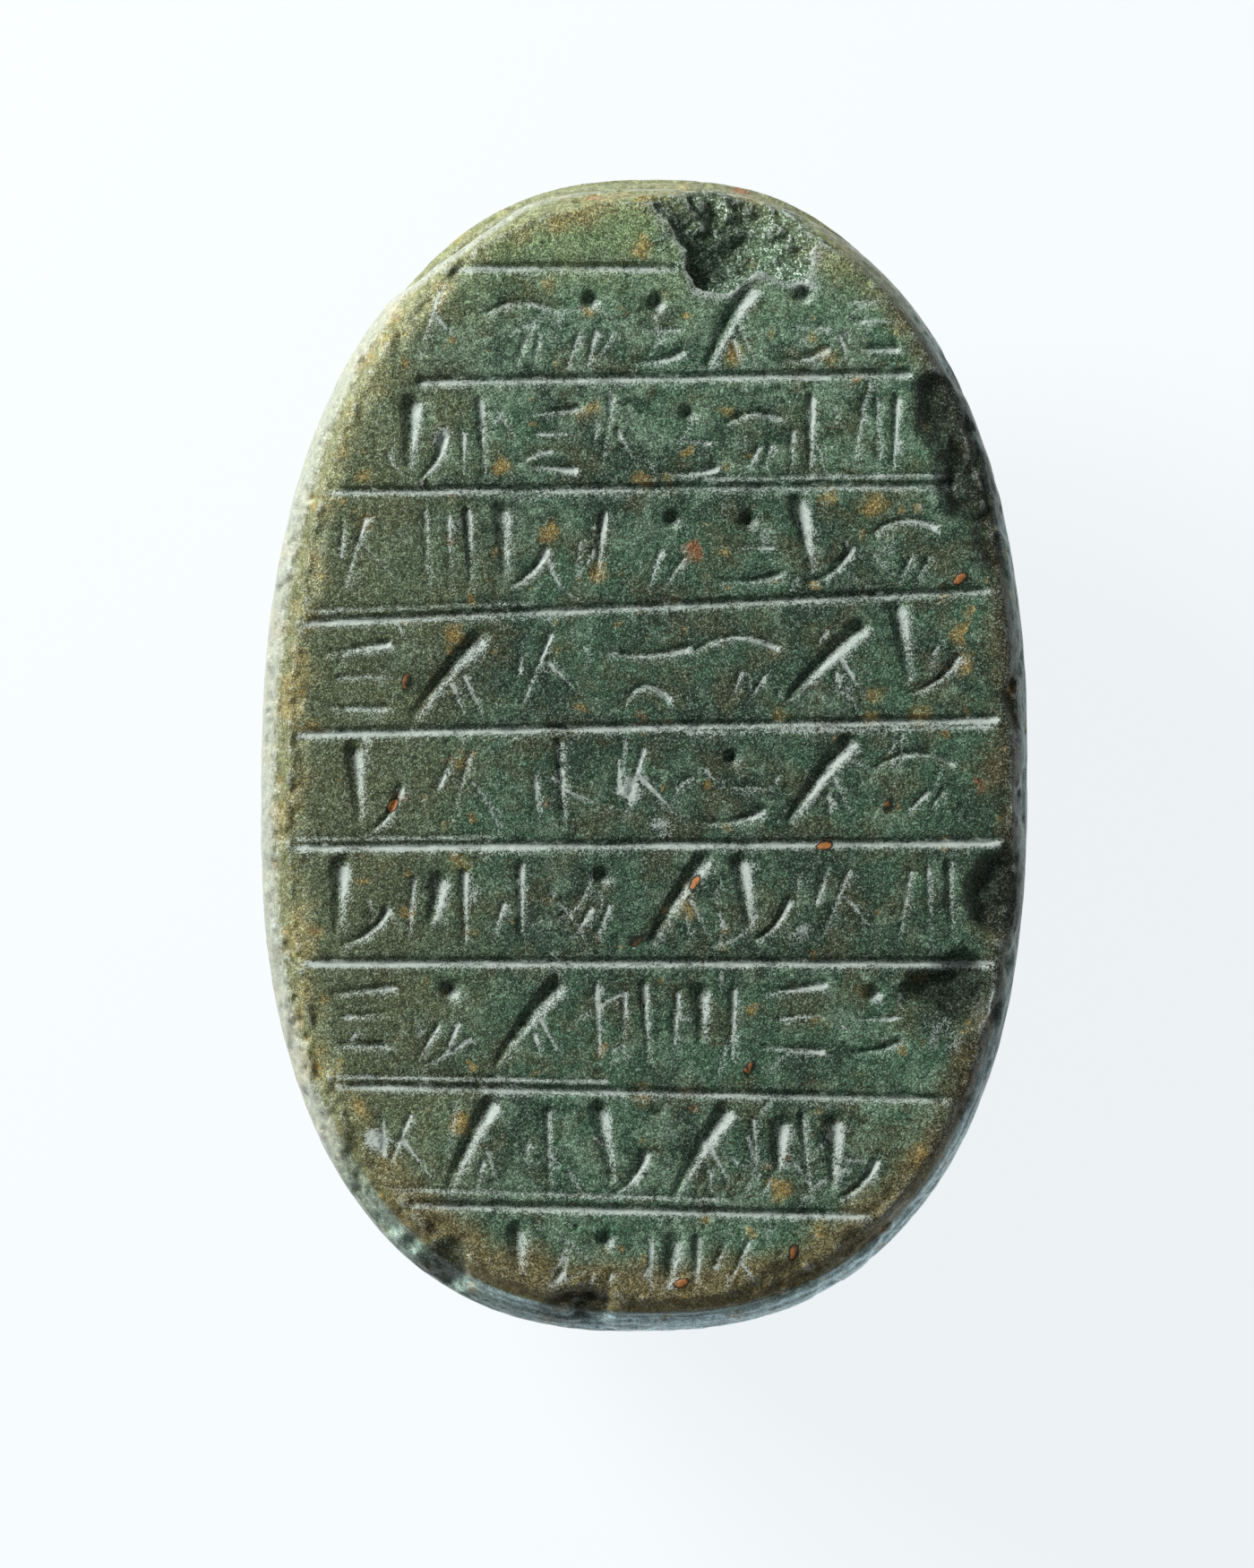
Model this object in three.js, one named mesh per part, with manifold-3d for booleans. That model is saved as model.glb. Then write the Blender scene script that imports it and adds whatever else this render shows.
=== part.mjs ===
// A scarab seal: a beetle carved from one piece of green stone, lying on its back with the
// ruled and engraved base up. Millimetres, +Z up, +Y towards the beetle's head. The origin is
// on the ground, under the middle of the outline.
import * as THREE from "three";
import { mergeVertices } from "three/addons/utils/BufferGeometryUtils.js";
import Module from "manifold-3d";

// ---- Driving dimensions ----
const LENGTH = 60; // head to tail
const WIDTH = 39.8; // across the base
const HEIGHT = 23.5; // engraved face to the flat spot on the back
const WIDEST_Y = -2.3; // where the outline is widest
const OVAL_POWER = 2.4; // an ellipse is 2, and a rectangle is far more

// Depths below the engraved face
const EDGE_DROP = 2.3; // the sloping edge of the base
const EDGE_POWER = 1.7; // how much the slope steepens on its way down
const BASE_THICK = 4.4; // the slab under the engraved face
const WAIST_TOP = 5.0; // the recess that the legs are carved in
const WAIST_END = 8.7;
const RIM_DEPTH = 9.9; // the edge of the back, where its dome begins
const FLAT_SPOT_CUT = 0.35; // how much of the crown is rubbed flat
const HEAD_DROP = 2.8; // how much nearer the base the back's edge comes at the head
const HEAD_DROP_FROM = 12; // between these two lines
const HEAD_DROP_TO = 29;

const HALF = WIDTH / 2;
const FRONT = LENGTH / 2 - WIDEST_Y; // reach from the widest line to the head
const TAIL = LENGTH / 2 + WIDEST_Y; // and to the tail

const LEAN = 0.009; // the hand-cut outline leans this much to its right towards the head

// Ovals: the half width, the reach forward and back from the widest line, and a sideways shift
const FACE = { half: HALF - 1.2, front: FRONT - 1.5, tail: TAIL - 1.8, shift: 0.35 };
const BASE = { half: HALF, front: FRONT - 0.7, tail: TAIL, shift: 0 };
const WAIST = { half: HALF - 1.9, front: FRONT - 2.2, tail: TAIL - 2.2, shift: 0 };
const BACK = { half: HALF - 0.8, front: FRONT, tail: TAIL - 0.6, shift: 0 };

// The corner of the base that is rubbed off, as a straight chord left of the head
const CHORD_FROM = new THREE.Vector2(-11.6, 24.6);
const CHORD_TO = new THREE.Vector2(-5.4, 29.0);

// How fast the back draws in towards its crown: sideways, at the tail and at the head
const BACK_SIDE = { fall: 2.3, round: 2.3 };
const BACK_TAIL = { fall: 2.6, round: 2.4 };
const BACK_HEAD = { fall: 1.5, round: 1.9 };

const SEGMENTS = 72; // steps round each oval
const EDGE_RINGS = 3;
const BACK_RINGS = 8;

// Ruled lines across the face, from the head down. The slope is in degrees.
const RULES = [
  { y: 25.1, from: -11.2, to: 1.6, slope: 0 },
  { y: 19.4, from: -11.6, to: 13.6, slope: 0.9 },
  { y: 13.7, from: -17.0, to: 15.9, slope: 0.6 },
  { y: 7.6, from: -18.0, to: 18.0, slope: 2.7 },
  { y: 1.4, from: -18.3, to: 18.1, slope: 1.2 },
  { y: -4.7, from: -18.3, to: 18.2, slope: 0.4 },
  { y: -10.8, from: -18.0, to: 18.0, slope: 0 },
  { y: -17.5, from: -16.8, to: 16.6, slope: -1.3 },
  { y: -23.6, from: -13.6, to: 11.5, slope: -1.4 },
];
const RULE_WEIGHT = { width: 0.62, depth: 0.34 };

// The row of marks under each ruled line. Each letter picks one of the MARKS below.
const ROWS = [
  { marks: "natdsdb", from: -12.2, to: 13.6 },
  { marks: "hvbndavg", from: -13.2, to: 13.8 },
  { marks: "nghvtdha", from: -16.2, to: 15.4 },
  { marks: "bsnwash", from: -17.2, to: 17.0 },
  { marks: "hnvndsa", from: -15.8, to: 16.0 },
  { marks: "huvtshng", from: -16.8, to: 16.6 },
  { marks: "btsgubd", from: -16.8, to: 14.2 },
  { marks: "nsvhsuh", from: -14.4, to: 12.6 },
  { marks: "htun", from: -7.6, to: 6.8 },
];
const ROW_DROP = 3.1; // from a ruled line to the middle of its row
const MARK_HEIGHT = 4.4;
const THIN_END = 0.4; // a stroke's thin end, as a share of its width
const BOLD = { width: 1.3, depth: 0.48 };
const PLAIN = { width: 0.62, depth: 0.28 };
const FINE = { width: 0.38, depth: 0.15 };
const PIT = { width: 1.2, depth: 0.6 };

// A mark is a few separate strokes in a cell that runs from -0.5 to 0.5 both ways: the thin
// end's x and y, the thick end's, a weight, and how far the stroke bows. A pit is one point.
const MARKS = {
  s: [[-0.44, -0.46, 0.26, 0.46, BOLD, 0.03], [0.34, -0.46, 0.1, 0.02, FINE, 0], [0.08, -0.46, 0.02, -0.14, FINE, 0]],
  h: [[-0.26, -0.3, -0.3, 0.44, BOLD, 0], [-0.18, -0.46, 0.32, -0.02, PLAIN, -0.1]],
  v: [[-0.04, -0.46, 0.02, 0.42, PLAIN, 0], [-0.34, -0.4, -0.3, 0.06, FINE, 0]],
  b: [[-0.4, 0.32, 0.4, 0.38, PLAIN, 0], [0.36, 0.08, -0.2, 0.04, FINE, 0], [-0.4, -0.28, 0.36, -0.34, PLAIN, 0]],
  a: [[-0.46, 0.14, 0.46, 0.2, PLAIN, 0.16], [-0.06, -0.44, 0.1, -0.12, FINE, 0], [0.18, -0.44, 0.34, -0.12, FINE, 0]],
  t: [[0.04, 0.34, PIT], [-0.34, -0.44, -0.14, -0.04, FINE, 0], [-0.06, -0.44, 0.14, -0.04, FINE, 0]],
  d: [[0.0, 0.32, PIT], [-0.32, 0.0, 0.34, -0.02, FINE, 0], [-0.4, -0.4, 0.38, -0.3, PLAIN, -0.07]],
  w: [[-0.46, 0.18, 0.44, 0.28, PLAIN, -0.06], [-0.28, -0.44, 0.3, -0.4, PLAIN, 0.34]],
  u: [[-0.38, -0.4, -0.34, 0.36, FINE, 0], [0.38, -0.4, 0.34, 0.4, PLAIN, 0], [-0.06, -0.16, 0.0, 0.32, BOLD, 0]],
  g: [[-0.34, -0.44, -0.3, 0.42, FINE, 0], [0.0, -0.44, 0.02, 0.36, FINE, 0], [0.26, -0.4, 0.32, 0.4, PLAIN, 0]],
  n: [[-0.36, -0.44, 0.0, 0.4, FINE, 0], [0.38, -0.34, -0.06, 0.1, FINE, 0], [-0.3, 0.44, -0.4, 0.0, FINE, 0]],
};

// Breaks in the edge of the base: the middle, the half sizes and a turn in degrees about Z
const CHIPS = [
  { at: [5.2, 27.5, 23.5], size: [4.0, 2.7, 1.6], turn: -12 }, // the large break beside the head
  { at: [4.6, 26.0, 23.2], size: [2.9, 1.8, 1.4], turn: 24 },
  { at: [3.2, 28.6, 23.2], size: [0.9, 1.6, 1.6], turn: 12 },
  { at: [15.6, 17.6, 23.9], size: [2.0, 2.4, 1.3], turn: 26 }, // and those down its right side
  { at: [17.0, 14.1, 23.8], size: [1.9, 3.0, 1.3], turn: 18 },
  { at: [18.3, 11.0, 23.8], size: [1.5, 2.3, 1.1], turn: 12 },
  { at: [18.6, -7.3, 23.8], size: [2.0, 2.3, 1.4], turn: -24 },
  { at: [16.2, -12.2, 23.9], size: [2.5, 1.9, 1.6], turn: -10 },
  { at: [-10.6, -26.4, 23.6], size: [1.7, 1.2, 0.9], turn: 32 }, // the tail
  { at: [-3.6, -28.6, 23.5], size: [2.2, 1.0, 1.0], turn: 8 },
  { at: [-18.5, 7.4, 24.0], size: [0.9, 1.7, 0.8], turn: -8 }, // and the left side
  { at: [-19.0, -3.0, 24.0], size: [1.0, 2.6, 0.8], turn: 2 },
];

// Lines cut in the back: the wing cases, the forebody and the head
const BACK_LINE = { width: 1.0, depth: 0.55 };
const FOREBODY_Y = 5.4;
const FOREBODY_BOW = 1.8;
const HEAD_Y = 18.2;
const HEAD_BOW = -1.6;
const HEAD_HALF = 9.6;
const CHEEK_X = 4.6;

// Legs, one side: points as [y, depth below the face], from the body to the foot
const LEG_WIDTH = 3.0;
const LEG_RISE = 1.6;
const LEGS = [
  [[10.5, 8.9], [16.0, 7.4], [21.5, 6.0], [25.4, 5.0]],
  [[8.0, 9.0], [4.0, 8.0], [0.2, 6.6], [-3.6, 5.0]],
  [[-3.2, 9.0], [-9.0, 7.9], [-16.0, 7.0], [-22.6, 5.1]],
];

const TURN = 2 * Math.PI;
const wasm = await Module();
wasm.setup();

// ---- Helpers ----

const power = (v, exponent) => Math.sign(v) * Math.abs(v) ** exponent;

// A repeatable number from 0 to 1 for the n-th use of a small irregularity.
function scatter(n) {
  const v = Math.sin(n * 12.9898 + 4.1414) * 43758.5453;
  return v - Math.floor(v);
}

function ovalPoint(oval, angle) {
  const side = power(Math.sin(angle), 2 / OVAL_POWER);
  const y = WIDEST_Y + side * (side > 0 ? oval.front : oval.tail);
  const x = oval.half * power(Math.cos(angle), 2 / OVAL_POWER);
  return new THREE.Vector2(x + oval.shift + LEAN * y, y);
}

// Under 1 inside the oval, 1 on it and more outside.
function ovalMeasure(oval, x, y) {
  const reach = y > WIDEST_Y ? oval.front : oval.tail;
  const across = Math.abs((x - oval.shift - LEAN * y) / oval.half) ** OVAL_POWER;
  return across + Math.abs((y - WIDEST_Y) / reach) ** OVAL_POWER;
}

// Half the oval's width at y.
function ovalReachX(oval, y) {
  const reach = y > WIDEST_Y ? oval.front : oval.tail;
  const left = 1 - Math.abs((y - WIDEST_Y) / reach) ** OVAL_POWER;
  return oval.half * Math.max(left, 0) ** (1 / OVAL_POWER);
}

function between(a, b, share) {
  const mixed = {};
  for (const key of Object.keys(a)) mixed[key] = a[key] + (b[key] - a[key]) * share;
  return mixed;
}

// A closed geometry through rings of equally many points, capped flat at both ends.
function loft(rings) {
  const count = rings[0].length;
  const positions = rings.flat().flatMap((p) => [p.x, p.y, p.z]);
  const faces = [];
  for (let r = 0; r + 1 < rings.length; r++) {
    for (let i = 0; i < count; i++) {
      const a = r * count + i;
      const b = r * count + ((i + 1) % count);
      faces.push(a, a + count, b, b, a + count, b + count);
    }
  }
  const last = (rings.length - 1) * count;
  for (let i = 1; i + 1 < count; i++) {
    faces.push(0, i, i + 1, last, last + i + 1, last + i);
  }
  const geometry = new THREE.BufferGeometry();
  geometry.setAttribute("position", new THREE.Float32BufferAttribute(positions, 3));
  geometry.setIndex(faces);
  return geometry;
}

function toSolid(geometry) {
  const bare = new THREE.BufferGeometry();
  bare.setAttribute("position", geometry.getAttribute("position"));
  bare.setIndex(geometry.index);
  const merged = mergeVertices(bare, 1e-5);
  const made = new wasm.Manifold(
    new wasm.Mesh({
      numProp: 3,
      vertProperties: merged.attributes.position.array,
      triVerts: new Uint32Array(merged.index.array),
    }),
  );
  if (made.volume() > 0) return made;
  const turned = merged.index.array.slice().reverse();
  return new wasm.Manifold(
    new wasm.Mesh({
      numProp: 3,
      vertProperties: merged.attributes.position.array,
      triVerts: new Uint32Array(turned),
    }),
  );
}

function toGeometry(solid) {
  const { vertProperties, triVerts } = solid.getMesh();
  const geometry = new THREE.BufferGeometry();
  geometry.setAttribute("position", new THREE.BufferAttribute(vertProperties, 3));
  geometry.setIndex(new THREE.BufferAttribute(triVerts, 1));
  geometry.computeVertexNormals();
  return geometry;
}

// ---- The body: base, waist and back in one skin ----

// The section of the back at a depth below the face.
function backOval(depth) {
  const share = (depth - RIM_DEPTH) / (HEIGHT + FLAT_SPOT_CUT - RIM_DEPTH);
  const draw = ({ fall, round }) => Math.max(1 - share ** fall, 0) ** (1 / round);
  return {
    half: BACK.half * draw(BACK_SIDE),
    front: BACK.front * draw(BACK_HEAD),
    tail: BACK.tail * draw(BACK_TAIL),
    shift: 0,
  };
}

// The edge of the back comes nearer the base towards the head, and its crown doesn't.
function headDropped(y, depth) {
  const share = THREE.MathUtils.clamp((depth - RIM_DEPTH) / (HEIGHT - RIM_DEPTH), 0, 1);
  return depth - HEAD_DROP * THREE.MathUtils.smoothstep(y, HEAD_DROP_FROM, HEAD_DROP_TO) * (1 - share);
}

// Pulls a point of the base in to the chord where the corner is rubbed off.
function insideChord(point) {
  const along = CHORD_TO.clone().sub(CHORD_FROM).normalize();
  const outward = new THREE.Vector2(-along.y, along.x);
  const excess = point.clone().sub(CHORD_FROM).dot(outward);
  return excess > 0 ? point.clone().addScaledVector(outward, -excess) : point;
}

function ovalRing(oval, toPoint) {
  return Array.from({ length: SEGMENTS }, (_, i) => toPoint(ovalPoint(oval, (TURN * i) / SEGMENTS)));
}

function baseRing(oval, depth) {
  return ovalRing(oval, (flat) => {
    const { x, y } = insideChord(flat);
    return new THREE.Vector3(x, y, HEIGHT - depth);
  });
}

function backRing(oval, depth) {
  return ovalRing(oval, ({ x, y }) => new THREE.Vector3(x, y, HEIGHT - headDropped(y, depth)));
}

function bodySolid() {
  const rings = [];
  for (let i = 0; i <= EDGE_RINGS; i++) {
    const share = i / EDGE_RINGS;
    const oval = between(FACE, BASE, 1 - (1 - share) ** EDGE_POWER);
    rings.push(baseRing(oval, EDGE_DROP * share));
  }
  rings.push(baseRing(BASE, BASE_THICK - 0.5));
  rings.push(baseRing(between(BASE, WAIST, 0.25), BASE_THICK));
  rings.push(baseRing(WAIST, WAIST_TOP));
  rings.push(backRing(WAIST, WAIST_END));
  rings.push(backRing(between(WAIST, BACK, 0.75), WAIST_END + 0.3));
  for (let i = 0; i <= BACK_RINGS; i++) {
    const share = Math.sin(((Math.PI / 2) * i) / BACK_RINGS);
    const depth = RIM_DEPTH + (HEIGHT - RIM_DEPTH) * share;
    rings.push(backRing(backOval(depth), depth));
  }
  return toSolid(loft(rings));
}

// ---- Cuts ----

// A V-shaped cut along points, each with its outward normal. It starts and ends at these
// shares of its full width.
function groove(points, normals, { width, depth }, start = 0.3, end = 0.3) {
  const proud = 0.4; // how far the cutter stands out of the surface
  const rings = points.map((point, i) => {
    const from = points[Math.max(i - 1, 0)];
    const to = points[Math.min(i + 1, points.length - 1)];
    const along = to.clone().sub(from).normalize();
    const side = along.clone().cross(normals[i]).normalize();
    const share = i === 0 ? start : i === points.length - 1 ? end : 1;
    const half = (width / 2) * share * (1 + proud / depth);
    return [
      point.clone().addScaledVector(normals[i], -depth * share),
      point.clone().addScaledVector(normals[i], proud).addScaledVector(side, half),
      point.clone().addScaledVector(normals[i], proud).addScaledVector(side, -half),
    ];
  });
  return toSolid(loft(rings));
}

const UP = new THREE.Vector3(0, 0, 1);

// A stroke on the face from its thin end to its thick one, bowed to the left by a share of
// its length.
function stroke(thin, thick, weight, bow) {
  const steps = bow === 0 ? 1 : 3;
  const along = thick.clone().sub(thin);
  const left = new THREE.Vector3(-along.y, along.x, 0);
  const points = Array.from({ length: steps + 1 }, (_, i) => {
    const lift = 4 * bow * (i / steps) * (1 - i / steps);
    return thin.clone().addScaledVector(along, i / steps).addScaledVector(left, lift);
  });
  return groove(points, points.map(() => UP), weight, THIN_END, 1);
}

function pit(x, y, { width, depth }) {
  const cone = new THREE.ConeGeometry(width * 0.75, depth * 1.5, 7);
  cone.rotateX(-Math.PI / 2).translate(x, y, HEIGHT - depth * 0.25);
  return toSolid(cone);
}

function ruledLines() {
  return RULES.map(({ y, from, to, slope }) => {
    const rise = Math.tan(THREE.MathUtils.degToRad(slope));
    const ends = [from, to].map((x) => new THREE.Vector3(x, y + rise * x, HEIGHT));
    return groove(ends, [UP, UP], RULE_WEIGHT, 0.8, 0.8);
  });
}

function markCuts() {
  const cuts = [];
  ROWS.forEach(({ marks, from, to }, row) => {
    const cell = (to - from) / marks.length;
    const rise = Math.tan(THREE.MathUtils.degToRad(RULES[row].slope));
    [...marks].forEach((kind, place) => {
      const seed = row * 17 + place * 3;
      const x = from + cell * (place + 0.5) + (scatter(seed) - 0.5) * 0.5;
      const y = RULES[row].y + rise * x - ROW_DROP + (scatter(seed + 1) - 0.5) * 0.3;
      const tall = MARK_HEIGHT * (0.92 + 0.16 * scatter(seed + 2));
      const onFace = (u, v) => new THREE.Vector3(x + u * cell * 0.92, y + v * tall, HEIGHT);
      for (const part of MARKS[kind]) {
        if (part.length === 3) {
          const middle = onFace(part[0], part[1]);
          cuts.push(pit(middle.x, middle.y, part[2]));
        } else {
          const [x0, y0, x1, y1, weight, bow] = part;
          cuts.push(stroke(onFace(x0, y0), onFace(x1, y1), weight, bow));
        }
      }
    });
  });
  return cuts;
}

// A lump with broken facets.
function chipCut({ at, size, turn }, index) {
  const lump = new THREE.IcosahedronGeometry(1, 1);
  const merged = mergeVertices(new THREE.BufferGeometry().setAttribute("position", lump.attributes.position));
  const position = merged.attributes.position;
  for (let i = 0; i < position.count; i++) {
    const rough = 0.88 + 0.24 * scatter(index * 53 + i);
    position.setXYZ(i, position.getX(i) * rough, position.getY(i) * rough, position.getZ(i) * rough);
  }
  merged.scale(...size).rotateZ(THREE.MathUtils.degToRad(turn)).translate(...at);
  return toSolid(merged);
}

// ---- The beetle's back and legs ----

function onBack(x, y) {
  let low = RIM_DEPTH;
  let high = HEIGHT + FLAT_SPOT_CUT;
  for (let i = 0; i < 30; i++) {
    const depth = (low + high) / 2;
    if (ovalMeasure(backOval(depth), x, y) < 1) low = depth;
    else high = depth;
  }
  return new THREE.Vector3(x, y, Math.max(HEIGHT - headDropped(y, low), 0));
}

function backNormal(x, y) {
  const step = 0.2;
  const alongX = onBack(x + step, y).sub(onBack(x - step, y));
  const alongY = onBack(x, y + step).sub(onBack(x, y - step));
  return alongY.cross(alongX).normalize();
}

// A line cut in the back, through points of the plan.
function backGroove(plan, steps = 10) {
  const curve = new THREE.CatmullRomCurve3(plan.map(([x, y]) => new THREE.Vector3(x, y, 0)));
  const flat = curve.getSpacedPoints(steps);
  const points = flat.map((p) => onBack(p.x, p.y));
  const normals = flat.map((p) => backNormal(p.x, p.y));
  return groove(points, normals, BACK_LINE);
}

function backCuts() {
  const cuts = [];
  const foreHalf = BACK.half - 0.9;
  cuts.push(backGroove([[-foreHalf, FOREBODY_Y], [0, FOREBODY_Y - FOREBODY_BOW], [foreHalf, FOREBODY_Y]], 18));
  cuts.push(backGroove([[-HEAD_HALF, HEAD_Y - HEAD_BOW], [0, HEAD_Y], [HEAD_HALF, HEAD_Y - HEAD_BOW]]));
  cuts.push(backGroove([[0, FOREBODY_Y - FOREBODY_BOW], [0, -8], [0, 2.2 - BACK.tail]], 14));
  for (const side of [-1, 1]) {
    cuts.push(backGroove([[side * CHEEK_X, HEAD_Y + 0.8], [side * CHEEK_X * 0.8, 24], [side * CHEEK_X * 0.75, 28.4]], 5));
    cuts.push(backGroove([[side * 15.4, FOREBODY_Y - 0.8], [side * 13.6, FOREBODY_Y - 4.2], [side * 12.8, FOREBODY_Y - 6]], 4));
  }
  return cuts;
}

// A leg carved proud of the waist, from the body to the foot.
function legSolid(side, route) {
  const curve = new THREE.CatmullRomCurve3(
    route.map(([y, depth]) => new THREE.Vector3(side * ovalReachX(WAIST, y) + LEAN * y, y, HEIGHT - depth)),
  );
  const steps = 7;
  const rings = Array.from({ length: steps + 1 }, (_, i) => {
    const point = curve.getPointAt(i / steps);
    const along = curve.getTangentAt(i / steps);
    const outward = new THREE.Vector3(along.y * side, -along.x * side, 0).normalize();
    if (outward.x * side < 0) outward.negate();
    const across = along.clone().cross(outward).normalize();
    const girth = 1 - 0.35 * (i / steps);
    return Array.from({ length: 6 }, (_, k) => {
      const angle = (TURN * k) / 6;
      return point
        .clone()
        .addScaledVector(across, (LEG_WIDTH / 2) * girth * Math.cos(angle))
        .addScaledVector(outward, LEG_RISE * girth * Math.sin(angle));
    });
  });
  return toSolid(loft(rings));
}

// ---- Assembly ----

let stone = bodySolid();
for (const route of LEGS) {
  for (const side of [-1, 1]) stone = stone.add(legSolid(side, route));
}
for (const cut of [...CHIPS.map(chipCut), ...backCuts()]) stone = stone.subtract(cut);
for (const cut of [...ruledLines(), ...markCuts()]) stone = stone.subtract(cut);

const greenStone = new THREE.MeshStandardMaterial({ color: 0x4d5f4c, roughness: 0.5, metalness: 0 });
const scarab = new THREE.Mesh(toGeometry(stone), greenStone);
scarab.name = "scarab";

const seal = new THREE.Group();
seal.add(scarab);

export default seal;
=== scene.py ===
"""A scarab seal: a beetle of mottled green stone on its back, with its engraved base up.

Laid out as a Blender add-on and run as a script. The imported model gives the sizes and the
place. The stone is worked in millimetres and brought down to metres once it is carved.
"""

import math
from collections import namedtuple

import bmesh
import bpy
import numpy as np
from bpy.props import FloatProperty, FloatVectorProperty, IntProperty, PointerProperty
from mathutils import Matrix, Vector


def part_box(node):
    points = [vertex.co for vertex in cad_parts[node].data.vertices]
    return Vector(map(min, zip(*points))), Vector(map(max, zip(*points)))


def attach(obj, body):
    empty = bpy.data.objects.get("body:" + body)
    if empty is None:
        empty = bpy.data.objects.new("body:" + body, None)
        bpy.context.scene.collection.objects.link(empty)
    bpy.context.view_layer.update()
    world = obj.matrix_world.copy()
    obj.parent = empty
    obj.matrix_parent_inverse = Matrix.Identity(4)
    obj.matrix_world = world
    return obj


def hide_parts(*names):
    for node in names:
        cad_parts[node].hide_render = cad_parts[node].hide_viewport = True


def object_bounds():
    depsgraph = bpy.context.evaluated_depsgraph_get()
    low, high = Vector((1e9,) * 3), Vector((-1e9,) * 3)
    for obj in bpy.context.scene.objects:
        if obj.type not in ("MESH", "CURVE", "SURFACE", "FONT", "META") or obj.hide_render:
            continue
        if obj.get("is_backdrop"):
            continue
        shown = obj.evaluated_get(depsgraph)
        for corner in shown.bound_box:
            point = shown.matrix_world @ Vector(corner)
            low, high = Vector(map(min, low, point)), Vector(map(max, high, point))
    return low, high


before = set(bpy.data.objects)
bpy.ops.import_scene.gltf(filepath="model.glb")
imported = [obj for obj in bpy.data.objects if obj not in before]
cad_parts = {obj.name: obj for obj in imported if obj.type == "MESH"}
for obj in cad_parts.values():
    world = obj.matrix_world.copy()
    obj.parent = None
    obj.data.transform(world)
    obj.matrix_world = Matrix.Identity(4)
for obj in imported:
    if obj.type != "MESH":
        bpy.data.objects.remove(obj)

bl_info = {
    "name": "Scarab Seal",
    "version": (1, 0, 0),
    "blender": (4, 5, 0),
    "location": "View3D > Sidebar > Scarab",
    "description": "Carves a green stone scarab seal and lays it on a light table",
    "category": "Add Mesh",
}

MM = 0.001
SOLID_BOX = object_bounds()
LOW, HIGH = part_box("scarab")

# ---- Sizes, in millimetres ----

LENGTH = (HIGH.y - LOW.y) / MM
WIDTH = (HIGH.x - LOW.x) / MM
HEIGHT = (HIGH.z - LOW.z) / MM
WIDEST_Y = -2.3
OVAL_POWER = 2.4
HALF = WIDTH / 2
FRONT = LENGTH / 2 - WIDEST_Y
TAIL = LENGTH / 2 + WIDEST_Y
LEAN = 0.009
PI2 = 2 * math.pi

# Depths below the engraved face
EDGE_DROP = 2.3
EDGE_POWER = 1.7
BASE_THICK = 4.4
WAIST_TOP = 5.0
WAIST_END = 8.7
RIM_DEPTH = 9.9
FLAT_SPOT_CUT = 0.35
HEAD_DROP = 2.8
HEAD_DROP_FROM = 12.0
HEAD_DROP_TO = 29.0

Oval = namedtuple("Oval", "half front tail shift")
FACE = Oval(HALF - 1.2, FRONT - 1.5, TAIL - 1.8, 0.35)
BASE = Oval(HALF, FRONT - 0.7, TAIL, 0.0)
WAIST = Oval(HALF - 1.9, FRONT - 2.2, TAIL - 2.2, 0.0)
BACK = Oval(HALF - 0.8, FRONT, TAIL - 0.6, 0.0)

# The rubbed-off corner of the base, as a chord left of the head
CHORD_FROM = np.array((-11.6, 24.6))
CHORD_TO = np.array((-5.4, 29.0))

# How fast the back draws in towards its crown: a fall and a roundness
BACK_SIDE = (2.3, 2.3)
BACK_TAIL = (2.6, 2.4)
BACK_HEAD = (1.5, 1.9)

# Legs, one side: points as (y, depth below the face), from the body to the foot
LEG_WIDTH = 3.0
LEG_RISE = 1.6
LEGS = (
    ((10.5, 8.9), (16.0, 7.4), (21.5, 6.0), (25.4, 5.0)),
    ((8.0, 9.0), (4.0, 8.0), (0.2, 6.6), (-3.6, 5.0)),
    ((-3.2, 9.0), (-9.0, 7.9), (-16.0, 7.0), (-22.6, 5.1)),
)

# Ruled lines across the face, from the head down: y, both ends and a slope in degrees
Rule = namedtuple("Rule", "y start end slope")
RULES = (
    Rule(25.1, -11.2, 1.6, 0.0),
    Rule(19.4, -11.6, 13.6, 0.9),
    Rule(13.7, -17.0, 15.9, 0.6),
    Rule(7.6, -18.0, 18.0, 2.7),
    Rule(1.4, -18.3, 18.1, 1.2),
    Rule(-4.7, -18.3, 18.2, 0.4),
    Rule(-10.8, -18.0, 18.0, 0.0),
    Rule(-17.5, -16.8, 16.6, -1.3),
    Rule(-23.6, -13.6, 11.5, -1.4),
)
# Fainter second lines, where the ruler slipped
SECOND_RULES = (
    Rule(14.15, 3.0, 16.2, 1.0),
    Rule(8.05, -17.8, -6.0, 2.2),
    Rule(-4.2, -18.2, -8.0, 0.6),
    Rule(-16.95, -16.6, -2.0, -1.0),
    Rule(-22.9, -13.2, 4.0, -1.8),
    Rule(1.05, 2.0, 17.8, 1.1),
)

# The row of marks under each ruled line. Each letter picks one of the MARKS below.
Row = namedtuple("Row", "marks start end")
ROWS = (
    Row("natdsdb", -12.2, 13.6),
    Row("hvbndavg", -13.2, 13.8),
    Row("nghvtdha", -16.2, 15.4),
    Row("bsnwash", -17.2, 17.0),
    Row("hnvndsa", -15.8, 16.0),
    Row("huvtshng", -16.8, 16.6),
    Row("btsgubd", -16.8, 14.2),
    Row("nsvhsuh", -14.4, 12.6),
    Row("htun", -7.6, 6.8),
)
ROW_DROP = 3.1
MARK_HEIGHT = 4.4
THIN_END = 0.4
HAND_SLIP = 0.25

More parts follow.
